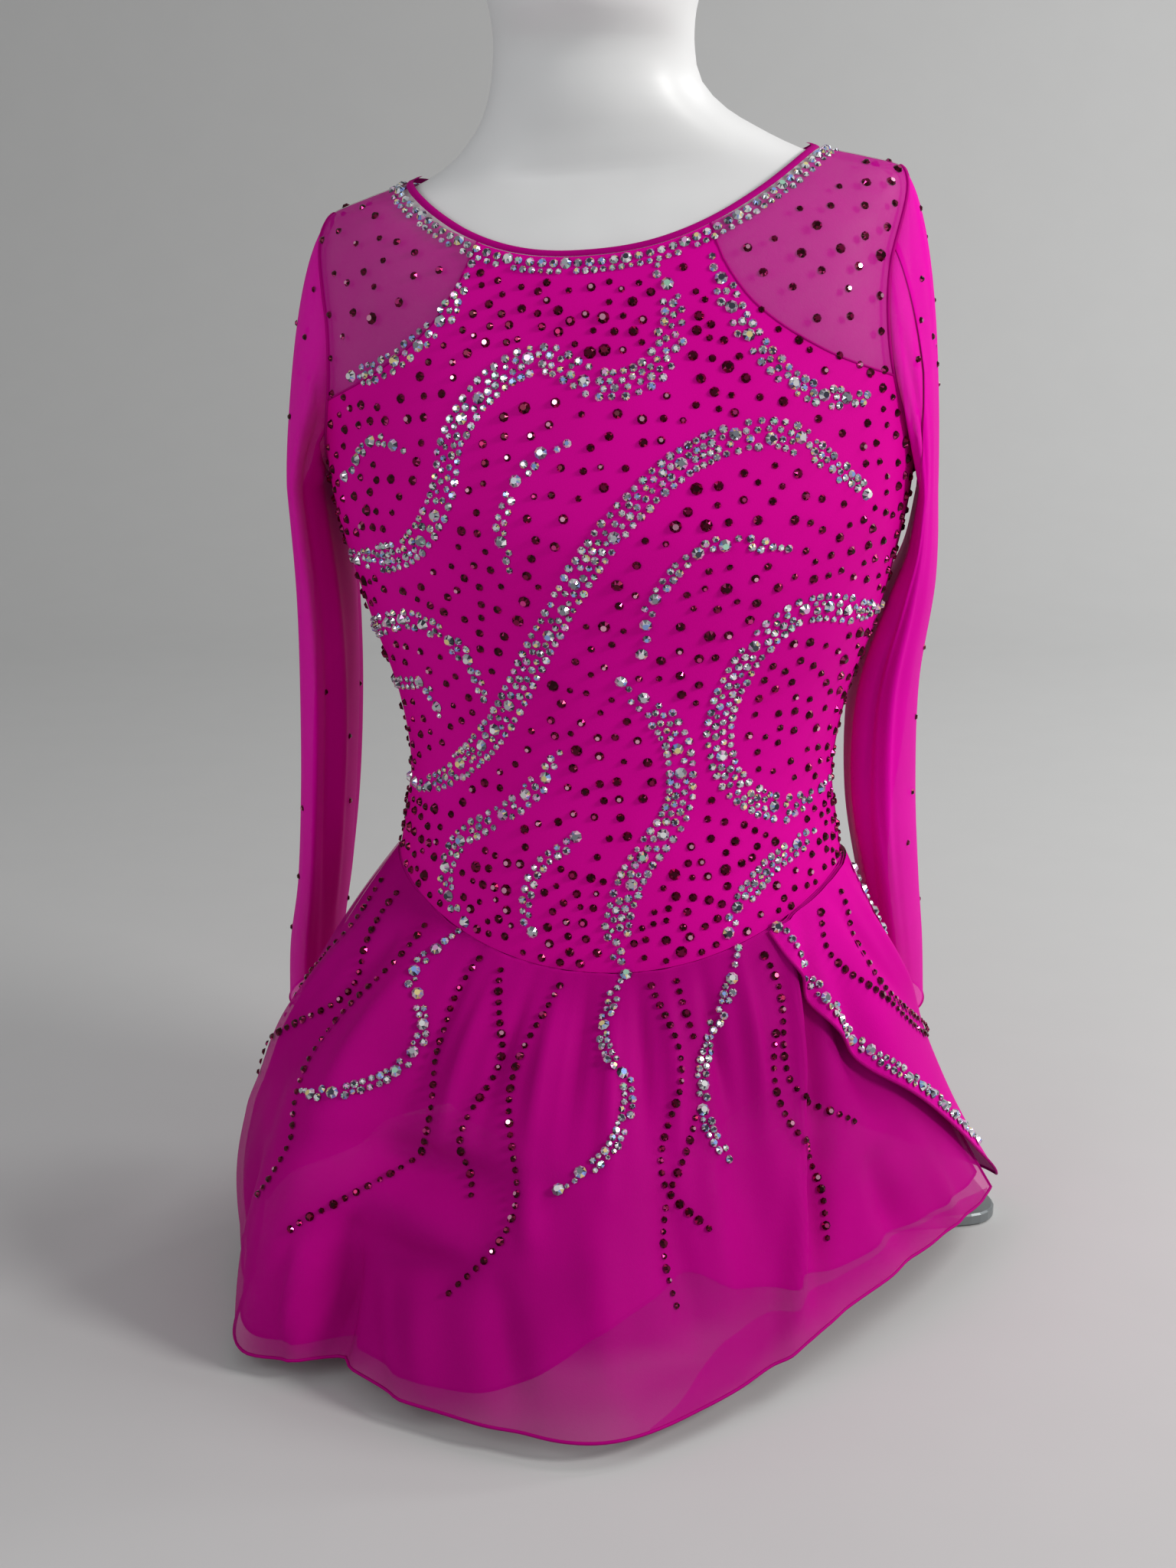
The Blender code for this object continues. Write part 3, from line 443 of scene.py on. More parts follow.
# Weaves: how fine, and how deep
KNIT_WEAVE = (1400.0, 0.0002)
BINDING_WEAVE = (1800.0, 0.0002)
MESH_WEAVE = (1100.0, 0.0003)
CLOTH_SPECULAR = 0.03
ROUGHNESS_CHANGE = 0.08
CLOTH_LOOKS = (
    # look, material, slot, colours, roughness, weave, least and most cover
    ("knit", "magenta_knit", "magenta_spandex", KNIT, 0.6, KNIT_WEAVE, None),
    ("seam", "seam_knit", "magenta_spandex", SEAM, 0.6, KNIT_WEAVE, None),
    ("binding", "binding_knit", "magenta_spandex", SEAM, 0.7, BINDING_WEAVE, None),
    ("yoke", "magenta_mesh", "magenta_power_mesh", YOKE, 0.6, MESH_WEAVE, (0.73, 0.80)),
    ("sleeve", "sleeve_mesh", "magenta_power_mesh", SLEEVE_PAINTED_LIGHTER, 0.6, MESH_WEAVE, (0.85, 0.90)),
    ("upper", "skirt_mesh", "magenta_power_mesh", LAYERS, 0.6, MESH_WEAVE, (0.63, 0.71)),
    ("under", "under_mesh", "magenta_power_mesh", LAYERS, 0.6, MESH_WEAVE, (0.94, 0.98)),
    ("wrap", "wrap_mesh", "magenta_power_mesh", WRAP, 0.6, MESH_WEAVE, (0.95, 0.98)),
    ("seam_mesh", "seam_mesh", "magenta_power_mesh", SEAM, 0.6, MESH_WEAVE, (0.70, 0.80)),
    ("hem", "rolled_hem", "magenta_power_mesh", SEAM, 0.6, MESH_WEAVE, (0.94, 0.98)),
)
STONE_LOOKS = (
    # look, material, roughness, metallic, coat
    ("clear", "clear_stone", 0.08, 0.45, 0.6),
    ("ruby", "ruby_stone", 0.14, 0.90, 0.15),
)
FORM_WHITE = (0.78, 0.78, 0.78)
PLATE_GREY = (0.26, 0.28, 0.29)
FLOOR_PALE = (0.54, 0.54, 0.535)
# Tints of a stone's facets, and how often each comes; the near-white ones are painted glints and the
# near-black ones painted shade, standing in for sparkle
CLEAR_TINTS_AND_GLINTS = (
    ((0.99, 1.00, 1.00), 6),
    ((0.56, 0.59, 0.63), 6),
    ((0.24, 0.26, 0.30), 7),
    ((0.04, 0.04, 0.07), 6),
    ((0.30, 0.46, 0.95), 3),
    ((0.45, 0.82, 0.62), 1),
    ((1.00, 0.84, 0.36), 2),
    ((0.90, 0.46, 0.82), 2),
)
# A ruby's facets: dark reds of its own colour, and a bright pink one that is a painted glint
RUBY_TINTS_AND_GLINTS = (
    ((0.040, 0.0005, 0.006), 6),
    ((0.100, 0.001, 0.018), 6),
    ((0.250, 0.003, 0.060), 3),
    ((0.800, 0.050, 0.300), 1),
)
# Painted glint given to some ruby tables, and how often
RUBY_PAINTED_GLINT = (0.95, 0.42, 0.62)
RUBY_PAINTED_GLINT_SHARE = 0.16
TINT_LEVELS = (0.8, 1.05)

# Stones: the cells in which near ones are looked for, how they sit, and their shape
STONE_SEED = 7
STONE_CELL = 0.030
STONE_OVER_CLOTH = 0.0003
STONE_OVER_SKIRT = 0.0006
STONE_OFF_SKIRT = 0.0004
STONE_LIFT = 0.0001
STONE_TILT = 0.05
STONE_TABLE = 0.50
STONE_HEIGHT = 0.62
STONE_EIGHT_SIDED_FROM = 0.0021
# Clear stones: the gap between them, the sizes in a band, and the large ones along it
CLEAR_GAP = 0.00005
CLEAR_PITCH = 0.0046
CLEAR_RADIUS = 0.0025
CLEAR_RADIUS_LESS = 0.0021
CLEAR_SHRINKS = (1, 0.86, 0.72)
CLEAR_JITTER = 0.0003
CLEAR_LESS_SHARE = 0.45
CLEAR_BIG = 0.0037
CLEAR_BIG_EVERY = 0.017
CLEAR_BIG_JITTER = 0.0012
CLEAR_BIG_SHARE = 0.6
# A band starts at this share of its width, widens this many times as fast as it runs, and has ragged edges
BAND_TIP = 0.35
BAND_WIDENS = 4.0
BAND_RAGGED = 0.9
# The band along the wrap's edge: degrees in from it, and the share of the drop that it runs down to
WRAP_EDGE_STONES_IN = 3.6
WRAP_EDGE_STONES_TO = 0.86
WRAP_EDGE_STONES_STEPS = 160
# Rows of stones under the neckline: distance down, radius, pitch
NECK_ROWS = ((0.0040, 0.0027, 0.0062), (0.0088, 0.0021, 0.0048))
NECK_LINE_STEPS = 400
# Sizes as shares of that radius, a smaller one to try next, the large ones of the first row, and how far to
# the left the neck's middle lies
NECK_SIZES = (0.88, 1.04)
NECK_SHRINK = 0.8
NECK_BIG = 1.25
NECK_BIG_EVERY = 5
NECK_BIG_FIRST = 3
NECK_MIDDLE_LEFT = 0.02
# Ruby stones
RUBY_GAP = 0.0001
RUBY_STRING_PITCH = 0.0066
RUBY_STRING_WAVES = 1.2
RUBY_STRING_STEPS = 240
RUBY_STRING_RADII = (0.0019, 0.0021, 0.0021, 0.0024, 0.0028)
RUBY_TRIES = 42000
RUBY_HEIGHTS = (0.215, 0.70)
RUBY_RADII = (0.0020, 0.0022, 0.0024, 0.0026, 0.0029)
RUBY_BIG = 0.0036
RUBY_BIG_FROM = 0.96
# How far apart they are on the front, low and high on it, and on the yokes and the back
RUBY_APART = 0.0112
RUBY_APART_LOW = 0.0084
RUBY_LOW = 0.060
RUBY_APART_HIGH = 0.0082
RUBY_HIGH_Z = 0.575
RUBY_APART_FEW = 0.0165
# That is cut to a share between these, and then by a length
RUBY_CLOSER = (0.75, 1.0)
RUBY_CLOSER_BY = 0.002
# How far they keep over the skirt's seam, under the neckline and off the armholes
RUBY_OVER_SEAM = 0.003
RUBY_UNDER_NECK = 0.013
RUBY_OFF_ARMHOLE = 0.004
# Ruby stones on the sleeves, closer together in the top share
SLEEVE_RUBY = 0.0021
SLEEVE_RUBY_TRIES = 500
SLEEVE_RUBY_SHARES = (0.02, 0.97)
SLEEVE_RUBY_APART = 0.040
SLEEVE_RUBY_APART_TOP = 0.018
SLEEVE_RUBY_TOP = 0.25
# Bands of clear stones on the front: how many stones wide, and points (across, height) of the line
FRONT_BANDS = (
    (4, ((0.150, 0.500), (0.104, 0.534), (0.052, 0.522), (0.006, 0.478), (-0.030, 0.420), (-0.062, 0.362),
         (-0.102, 0.322), (-0.127, 0.314))),
    (4, ((0.036, 0.632), (0.047, 0.600), (0.036, 0.572), (0.006, 0.565), (-0.024, 0.580), (-0.052, 0.571),
         (-0.078, 0.540), (-0.088, 0.500), (-0.112, 0.470), (-0.158, 0.458))),
    (3, ((-0.068, 0.634), (-0.079, 0.612), (-0.098, 0.594), (-0.124, 0.578), (-0.150, 0.572))),
    (3, ((-0.152, 0.408), (-0.112, 0.426), (-0.078, 0.408), (-0.066, 0.378))),
    (4, ((0.158, 0.428), (0.118, 0.438), (0.088, 0.414), (0.070, 0.374), (0.076, 0.336), (0.104, 0.314),
         (0.128, 0.322))),
    (4, ((0.014, 0.398), (0.044, 0.364), (0.046, 0.320), (0.024, 0.284), (0.013, 0.252), (0.014, 0.226))),
    (3, ((-0.022, 0.352), (-0.046, 0.320), (-0.084, 0.292), (-0.094, 0.264), (-0.082, 0.242))),
    (3, ((0.122, 0.296), (0.098, 0.280), (0.080, 0.256), (0.078, 0.240))),
    (3, ((0.066, 0.634), (0.086, 0.590), (0.118, 0.556), (0.152, 0.548))),
    (2, ((0.108, 0.474), (0.066, 0.478), (0.034, 0.446), (0.030, 0.414))),
    (2, ((-0.152, 0.512), (-0.130, 0.536), (-0.108, 0.530))),
    (2, ((-0.012, 0.534), (-0.036, 0.520), (-0.050, 0.490), (-0.046, 0.462))),
    (2, ((-0.136, 0.376), (-0.108, 0.384), (-0.096, 0.362))),
    (2, ((-0.012, 0.300), (-0.034, 0.282), (-0.042, 0.256), (-0.034, 0.236))),
)
BACK_BANDS = (
    (2, ((0.140, 0.470), (0.090, 0.500), (0.040, 0.470), (0.000, 0.420), (-0.040, 0.370), (-0.100, 0.330))),
    (2, ((-0.140, 0.470), (-0.100, 0.510), (-0.050, 0.520), (-0.020, 0.560), (-0.034, 0.610))),
    (2, ((0.110, 0.330), (0.070, 0.350), (0.040, 0.320), (0.046, 0.262))),
)
# The same on the skirt, by angle and share: those on the front, and those on the back piece; an angle of one
# degree counts as SKIRT_STEP along their line
SKIRT_STEP = 0.0025
SKIRT_BANDS = (
    (2, ((-84, 0.00), (-87, 0.12), (-82, 0.24), (-84, 0.36), (-92, 0.47))),
    (2, ((-125, 0.00), (-129, 0.10), (-123, 0.22), (-127, 0.34), (-140, 0.42))),
    (2, ((-56, 0.00), (-61, 0.12), (-67, 0.24), (-66, 0.38), (-60, 0.50))),
)
WRAP_BANDS = ((1, ((2, 0.03), (4, 0.14), (11, 0.28), (17, 0.42), (21, 0.54))),)
# Strings of ruby stones: starting angle, drift over the drop, width of the wave, and shares it runs between
SKIRT_STRINGS = (
    # angle, drift, wave, start, end
    (-158, -6, 3.0, 0.05, 0.40),
    (-146, -12, 3.5, 0.03, 0.52),
    (-137, -4, 3.0, 0.03, 0.66),
    (-116, -12, 3.5, 0.03, 0.70),
    (-108, 2, 2.5, 0.03, 0.52),
    (-98, -6, 3.0, 0.03, 0.74),
    (-76, 8, 3.0, 0.03, 0.62),
    (-70, -4, 2.5, 0.03, 0.78),
    (-50, 20, 3.0, 0.05, 0.60),
    (-48, 8, 3.5, 0.12, 0.82),
)
WRAP_STRINGS = (
    (-28, 36, 2.0, 0.04, 0.52),
    (-18, 34, 2.0, 0.04, 0.58),
    (40, 6, 3.0, 0.05, 0.45),
    (70, -8, 3.0, 0.05, 0.55),
    (100, 8, 3.0, 0.05, 0.50),
    (130, -8, 3.0, 0.05, 0.55),
    (158, 6, 3.0, 0.05, 0.45),
)


def clamp(value, low=0, high=1):
    return min(max(value, low), high)


def eased(share):
    return share * share * (3 - 2 * share)


def spread(start, end, count):
    return [start + (end - start) * i / count for i in range(count + 1)]


def cubic(t, start, leave, end, arrive):
    """A curve from start to end that leaves and arrives in given directions."""
    return (
        (2 * t**3 - 3 * t**2 + 1) * start
        + (t**3 - 2 * t**2 + t) * leave
        + (3 * t**2 - 2 * t**3) * end
        + (t**3 - t**2) * arrive
    )


def smooth_table(rows, at, column=1):
    """The column's value at a key, on a smooth curve through the table's rows, which are in order of key."""
    keys = [row[0] for row in rows]
    if keys[0] > keys[-1]:
        rows = rows[::-1]
        keys = keys[::-1]
    at = clamp(at, keys[0], keys[-1])
    i = clamp(bisect.bisect_right(keys, at) - 1, 0, len(keys) - 2)
    width = keys[i + 1] - keys[i]

    def slope(k):
        low = max(k - 1, 0)
        high = min(k + 1, len(keys) - 1)
        return (rows[high][column] - rows[low][column]) / (keys[high] - keys[low]) * width

    return cubic((at - keys[i]) / width, rows[i][column], slope(i), rows[i + 1][column], slope(i + 1))


def round_power(value, roundness):
    return copysign(abs(value) ** (2 / roundness), value)


def lean(point):
    """A point of the upright body, in the leaning posture."""
    x, y, z = point
    share = clamp((z - LEAN_FROM) / (LEAN_TO - LEAN_FROM))
    upright_again = eased(clamp((z - NECK_BENDS[0]) / (NECK_BENDS[1] - NECK_BENDS[0])))
    angle = LEAN * share * (1 - upright_again)
    aside = CHEST_ASIDE * share * share + NECK_ASIDE * upright_again
    return Vector((x * cos(angle) - aside, y, z + x * sin(angle)))


def upright(angle, z):
    """A point of the upright body's surface."""
    width, front, back, forward, roundness = (smooth_table(BODY, z, k) for k in range(1, 6))
    depth = front if sin(angle) < 0 else back
    x = width * round_power(cos(angle), roundness)
    y = depth * round_power(sin(angle), roundness) - forward
    return Vector((x, y, z))


def body(angle, z, out):
    """A point at a distance out from the leaning body's surface."""
    step = 0.01
    rise = 0.001
    along = lean(upright(angle + step, z)) - lean(upright(angle - step, z))
    up = lean(upright(angle, z + rise)) - lean(upright(angle, z - rise))
    normal = along.cross(up).normalized()
    return lean(upright(angle, z)) + normal * out


def angle_across(x, z, side):
    """The angle of the body point that is x across at a height, in front for side -1 and behind for 1."""
    share = min(abs(x) / smooth_table(BODY, z, 1), 1.0)
    turn = acos(share ** (smooth_table(BODY, z, 5) / 2))
    return side * (turn if x > 0 else pi - turn)


def neckline_z(x, side):
    low = NECK_FRONT_Z if side < 0 else NECK_BACK_Z
    return low + (NECK_POINT_Z - low) * min(abs(x) / NECK_X, 1) ** NECK_POWER


def basque_z(angle):
    dip = BASQUE_FRONT_DIP if sin(angle) < 0 else BASQUE_BACK_DIP
    return BASQUE_SIDE_Z - dip * sin(angle) ** 2


def neck_across(t):
    """How far across the yoke's neck edge is at a share of its way up, with closer steps at the shoulder."""
    return YOKE_NECK_X + (NECK_X - YOKE_NECK_X) * (1 - (1 - t) ** 2)


def armhole(turn, grow):
    """(angle, height) of the armhole's edge: turn goes from 0 at the shoulder to pi at the underarm."""
    middle = 0.5 * (ARMHOLE_TOP_Z + ARMHOLE_BOTTOM_Z)
    half = 0.5 * (ARMHOLE_TOP_Z - ARMHOLE_BOTTOM_Z)
    share = 0.5 + 0.5 * cos(turn)
    angle = ARMHOLE_ANGLE * max(sin(pi * share), 0) ** ARMHOLE_POWER
    return (angle * (1 + grow / ARMHOLE_HALF_WIDTH), middle + (half + grow) * cos(turn))


def yoke_line(side, move):
    """Points (across, height) of the yoke's lower seam, from the neckline, moved towards the yoke."""
    end_angle, end_z = armhole(pi * YOKE_ARMHOLE_STEPS / ARMHOLE_STEPS, 0)
    end = upright(side * end_angle, end_z)
    table = YOKE_LINE_FRONT if side < 0 else YOKE_LINE_BACK
    rows = [(YOKE_NECK_X, neckline_z(YOKE_NECK_X, side)), *table, (end.x, end.z)]
    line = []
    step = 0.001
    for x in spread(YOKE_NECK_X, end.x, YOKE_LINE_STEPS):
        slope = (smooth_table(rows, x + step) - smooth_table(rows, x - step)) / (2 * step)
        size = hypot(1, slope)
        line.append((x - slope / size * move, smooth_table(rows, x) + move / size))
    return line


@functools.cache
def yoke_rows(side):
    """The yoke's lower seam as a table of (across, height)."""
    return yoke_line(side, 0)


def half_panel_top(side):
    """The top edge of half an opaque panel, from its side seam to its middle, as (angle, height) points."""
    points = []
    for i in range(ARMHOLE_STEPS, YOKE_ARMHOLE_STEPS, -1):
        angle, z = armhole(pi * i / ARMHOLE_STEPS, SEAM_GAP / 2)
        points.append((side * angle, z))
    for x, z in yoke_line(side, -SEAM_GAP / 2)[::-1]:
        points.append((angle_across(x, z, side), z))
    for x in spread(YOKE_NECK_X, 0.0, NECK_MIDDLE_STEPS)[1:]:
        z = neckline_z(x, side) - SEAM_GAP / 2
        points.append((angle_across(max(x, NEARLY_ZERO), z, side), z))
    return points


def panel_grid(side, rows):
    """(angle, height) points of an opaque panel, a column for each point of its top edge."""
    half = half_panel_top(side)
    top = half + [(side * pi - angle, z) for angle, z in half[-2::-1]]
    edge = SEAM_GAP / 2 / BODY_SIDE_RADIUS
    columns = []
    for i, (angle, z) in enumerate(top):
        foot = clamp(pi * i / (len(top) - 1), edge, pi - edge) * side
        head = clamp(abs(angle), edge, pi - edge) * side
        low = basque_z(foot) + SEAM_GAP / 2
        rises = [1 - (1 - t) ** PANEL_CROWDING for t in spread(0, 1, rows)]
        columns.append([(foot + (head - foot) * rise**PANEL_FAN, low + (z - low) * rise) for rise in rises])
    return columns


def blend_patch(bottom, top, left, right):
    """Points of a four-sided patch, from its edges as functions of 0 to 1."""
    def one(k, s, t):
        ruled = (1 - t) * bottom(s)[k] + t * top(s)[k] + (1 - s) * left(t)[k] + s * right(t)[k]
        low = (1 - s) * (1 - t) * bottom(0)[k] + s * (1 - t) * bottom(1)[k]
        return ruled - (low + (1 - s) * t * top(0)[k] + s * t * top(1)[k])

    return lambda s, t: (one(0, s, t), one(1, s, t))


def met(edge, start, end):
    """An edge as a function of 0 to 1, moved so that its ends meet the two edges beside it."""
    first = edge(0)
    last = edge(1)

    def at(t):
        raw = edge(t)
        return tuple(raw[k] + (1 - t) * (start[k] - first[k]) + t * (end[k] - last[k]) for k in range(2))

    return at


def yoke_patch(side):
    """The yoke on the right, in front or behind, as a patch from its neckline to its armhole."""
    low = [(angle_across(x, z, side), z) for x, z in yoke_line(side, SEAM_GAP / 2)]

    def bottom(s):
        place = s * YOKE_LINE_STEPS
        i = min(int(place), YOKE_LINE_STEPS - 1)
        return tuple(low[i][k] + (low[i + 1][k] - low[i][k]) * (place - i) for k in range(2))

    def top(s):
        z = NECK_POINT_Z - SEAM_GAP / 2 + (ARMHOLE_TOP_Z - NECK_POINT_Z) * s
        return (side * SEAM_GAP / 2 / SHOULDER_DEPTH, z)

    def neck_edge(t):
        x = neck_across(t)
        z = neckline_z(x, side) - SEAM_GAP / 2
        return (angle_across(x, z, side), z)

    def arm_edge(t):
        turn = pi * YOKE_ARMHOLE_STEPS / ARMHOLE_STEPS * (1 - t)
        angle, z = armhole(turn, SEAM_GAP / 2)
        return (side * angle, z)

    return blend_patch(bottom, top, met(neck_edge, bottom(0), top(0)), met(arm_edge, bottom(1), top(1)))


def sleeve(table, side, turn, share):
    """A point of a sleeve's outer surface: turn goes round from its outer edge, share goes down it."""
    first = SLEEVE_CAP / SLEEVE_ROWS

    def ring(z):
        middle_x, half_width, middle_y, half_depth = (smooth_table(table, z, k) for k in range(1, 5))
        x = middle_x + side * half_width * cos(turn)
        return Vector((x, middle_y - half_depth * sin(turn), z))

    top = table[0][0]
    bottom = table[-1][0]
    if share >= first:
        return ring(top + (bottom - top) * (share - first) / (1 - first))
    opening, z_in = armhole(abs(turn), -SEAM_GAP)
    angle = -opening if turn > 0 else opening
    if side < 0:
        angle = pi - angle
    start = body(angle, z_in, BODY_EASE + CLOTH)
    out = (body(angle, z_in, OUT_STEP) - body(angle, z_in, 0)).normalized()
    end = ring(top)
    reach = (end - start).length
    leave = (out * CAP_LEAVE_OUT + Vector((0, 0, -CAP_LEAVE_DOWN))) * reach
    return cubic(share / first, start, leave, end, Vector((0, 0, -1)) * reach)


@functools.cache
def skirt_start(angle):
    """Where the skirt leaves the seam: radius, direction, the way round to the angle, height, and its row."""
    turn = angle * (pi / 180)
    start = body(turn, basque_z(turn), BODY_EASE)
    start_turn = atan2(start.y, start.x)
    swing = (turn - start_turn + pi) % (2 * pi) - pi
    around = (angle - SKIRT[0][0]) % 360 + SKIRT[0][0]
    ring = [(row[0] - 360, *row[1:]) for row in SKIRT[-3:]]
    ring += [*SKIRT, *((row[0] + 360, *row[1:]) for row in SKIRT[:3])]
    row = [smooth_table(ring, around, k) for k in (1, 2, 3)]
    return hypot(start.x, start.y), start_turn, swing, basque_z(turn) - SEAM_GAP, row


def creased(rows, angle, share):
    """How far the creases of a table push the cloth out at a place, as a soft ridge or trough along each."""
    push = 0.0
    for start_angle, start_share, end_angle, end_share, width, height in rows:
        dx = (end_angle - start_angle) / CREASE_DEGREES
        dy = end_share - start_share
        px = (angle - start_angle) / CREASE_DEGREES
        py = share - start_share
        along = clamp((px * dx + py * dy) / (dx * dx + dy * dy))
        off = hypot(px - along * dx, py - along * dy) * CREASE_DEGREES / width
        if off < CREASE_REACH:
            push += height * exp(-off * off) * sin(pi * clamp(along, *CREASE_ENDS))
    return push


def skirt(angle, share, away):
    """A point of the skirt, moved level away from the axis."""
    start_radius, start_turn, swing, top, (radius, height, bulge) = skirt_start(angle)
    out = share + bulge * share * (1 - share)
    here = start_turn + swing * min(1, share * 2)
    r = start_radius + (radius - start_radius) * out + away
    r += creased(SKIRT_CREASES, (angle - SIDE_SEAM) % 360 + SIDE_SEAM, share)
    return Vector((r * cos(here), r * sin(here), top + (height - top) * share))


def upper_away(angle, share):
    return UPPER_OUT + UPPER_GROWS * min(share / LAYERS_PART_BY, 1) + SKIRT_SHELL


def wrap_away(angle, share):
    over = eased(clamp((FRONT_END + WRAP_FADES - angle) / WRAP_FADES))
    grown = WRAP_GROWS * min(share / LAYERS_PART_BY, 1)
    return UNDER_OUT + (WRAP_OUT - UNDER_OUT + grown) * over + SKIRT_SHELL


def add_mesh(name, points, faces, smooth=True):
    mesh = bpy.data.meshes.new(name)
    mesh.from_pydata(points, [], faces)
    if smooth:
        mesh.shade_smooth()
    else:
        mesh.shade_flat()
    obj = bpy.data.objects.new(name, mesh)
    bpy.context.scene.collection.objects.link(obj)
    return obj


def grid_mesh(name, columns, closed=False, extra=(), capped=False):
    """A single sheet through a grid of points, given as columns, and an extra strip of the same cloth."""
    points = []
    faces = []
    for part, ring in ((columns, closed), (extra, False)):
        first = len(points)
        count = len(part)
        for i in range(count if ring else count - 1):
            rows = len(part[0])
            for k in range(rows - 1):
                a = first + i * rows + k
                b = first + (i + 1) % count * rows + k
                faces.append((a, b, b + 1, a + 1))
        points += [point + AXIS for column in part for point in column]
    if capped:
        rows = len(columns[0])
        faces.append(tuple(range(0, len(points), rows))[::-1])
        faces.append(tuple(range(rows - 1, len(points), rows)))
    return add_mesh(name, points, faces)


def tube(name, points, radius, closed=False, sides=6):
    """A tube along points, with its section carried from point to point."""
    count = len(points)
    ring_points = []
    side = None
    for i in range(count):
        before = points[(i - 1) % count] if closed or i else points[0]
        after = points[(i + 1) % count] if closed or i < count - 1 else points[-1]
        along = (after - before).normalized()
        if side is None:
            side = along.orthogonal().normalized()
        side = (side - along * side.dot(along)).normalized()
        other = along.cross(side)
        for k in range(sides):
            turn = 2 * pi * k / sides
            spoke = side * cos(turn) + other * sin(turn)
            ring_points.append(points[i] + AXIS + spoke * radius)
    faces = []
    for i in range(count if closed else count - 1):
        here = i * sides
        there = (i + 1) % count * sides
        for k in range(sides):
            j = (k + 1) % sides
            faces.append((here + k, here + j, there + j, there + k))
    if not closed:
        faces.append(tuple(range(sides))[::-1])
        faces.append(tuple((count - 1) * sides + k for k in range(sides)))
    return add_mesh(name, ring_points, faces)


def finish_piece(obj, look, nodes=()):
    """Gives a piece its look's material, lets it ride on the root, and hides the nodes it stands for."""
    material, slot = LOOKS[look]
    obj.data.materials.append(material)
    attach(obj, "root")
    if nodes:
        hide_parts(*nodes)


def add_cloth(node, look, columns, closed=False, extra=()):
    """A node's sheet of cloth, stretched over the form or hung from another piece."""
    cloth = grid_mesh(node + "_cloth", columns, closed, extra)
    finish_piece(cloth, look, [node])


def add_trim(name, look, line, radius, closed=False):
    """A seam, a bound edge or a rolled hem along a line."""
    finish_piece(tube(name, line, radius, closed), look)


class Shader:
    """A material's nodes, with its own shader."""

    def __init__(self, name):
        self.material = bpy.data.materials.new(name)
        self.material.use_nodes = True
        self.nodes = self.material.node_tree.nodes
        self.links = self.material.node_tree.links
        self.inputs = self.nodes["Principled BSDF"].inputs

    def add(self, kind, **values):
        """A new node, with values for its sockets; _ in a socket's name is its space."""
        made = self.nodes.new(kind)
        for socket, value in values.items():
            made.inputs[socket.replace("_", " ")].default_value = value
        return made

    def noise(self, scale, detail=2.0):
        made = self.add("ShaderNodeTexNoise", Scale=scale, Detail=detail)
        self.links.new(self.add("ShaderNodeTexCoord").outputs["Object"], made.inputs["Vector"])
        return made.outputs["Fac"]

    def colour(self, scale, low, high):
        """A slow change between two colours."""
        made = self.add("ShaderNodeValToRGB")
        for end, colour, at in zip(made.color_ramp.elements, (low, high), (0.35, 0.65)):
            end.position = at
            end.color = (*colour, 1)
        self.links.new(self.noise(scale), made.inputs["Fac"])
        self.links.new(made.outputs["Color"], self.inputs["Base Color"])

    def remap(self, value, low, high, socket):
        """Drives a socket of the shader between two values."""
        made = self.add("ShaderNodeMapRange", To_Min=low, To_Max=high)
        self.links.new(value, made.inputs["Value"])
        self.links.new(made.outputs["Result"], self.inputs[socket])

    def bump(self, height, strength, depth):
        made = self.add("ShaderNodeBump", Strength=strength, Distance=depth)
        self.links.new(height, made.inputs["Height"])
        self.links.new(made.outputs["Normal"], self.inputs["Normal"])


def cloth_material(name, colours, roughness, weave, cover):
    """Stretch cloth: a slow change of colour and a fine weave; sheer cloth's cover changes a little too."""
    made = Shader(name)
    made.colour(CLOTH_CHANGE, *colours)
    fine = made.noise(weave[0], 1.0)
    made.remap(fine, roughness - ROUGHNESS_CHANGE, roughness + ROUGHNESS_CHANGE, "Roughness")
    made.bump(fine, 0.35, weave[1])
    made.inputs["Specular IOR Level"].default_value = CLOTH_SPECULAR
    if cover:
        made.remap(made.noise(COVER_CHANGE, 3.0), *cover, "Alpha")
    return made.material


def hard_shader(name, roughness, metallic, coat, coat_roughness):
    made = Shader(name)
    made.inputs["Roughness"].default_value = roughness
    made.inputs["Metallic"].default_value = metallic
    made.inputs["Coat Weight"].default_value = coat
    made.inputs["Coat Roughness"].default_value = coat_roughness
    return made


def plain_material(name, colour, roughness, metallic=0.0, coat=0.0, grain=0.0, change=0.06):
    """A hard surface with a slow change of colour and a fine grain."""
    made = hard_shader(name, roughness, metallic, coat, 0.25)
    made.colour(HARD_CHANGE, tuple(c * (1 - change) for c in colour), colour)
    if grain:
        made.bump(made.noise(HARD_GRAIN), 0.2, grain)
    return made.material


def stone_material(name, roughness, metallic, coat):
    """Foil-backed glass stones, each facet with the tint that its own mesh carries, painted glints and
    painted shade among them.
    """
    made = hard_shader(name, roughness, metallic, coat, 0.03)
    tint_and_glint = made.add("ShaderNodeAttribute")
    tint_and_glint.attribute_name = "tint_and_glint"
    made.links.new(tint_and_glint.outputs["Color"], made.inputs["Base Color"])
    return made.material


def make_looks():
    """Each look's material and the record's slot that it belongs to."""
    looks = {
        "form": (plain_material("white_form", FORM_WHITE, 0.46, coat=0.10, grain=0.00004), "white_form"),
        "plate": (plain_material("grey_plate", PLATE_GREY, 0.32, metallic=0.7, grain=0.00003), "grey_stand"),
    }
    for look, name, slot, *rest in CLOTH_LOOKS:
        looks[look] = (cloth_material(name, *rest), slot)
    for look, name, *rest in STONE_LOOKS:
        looks[look] = (stone_material(name, *rest), "magenta_spandex")
    return looks


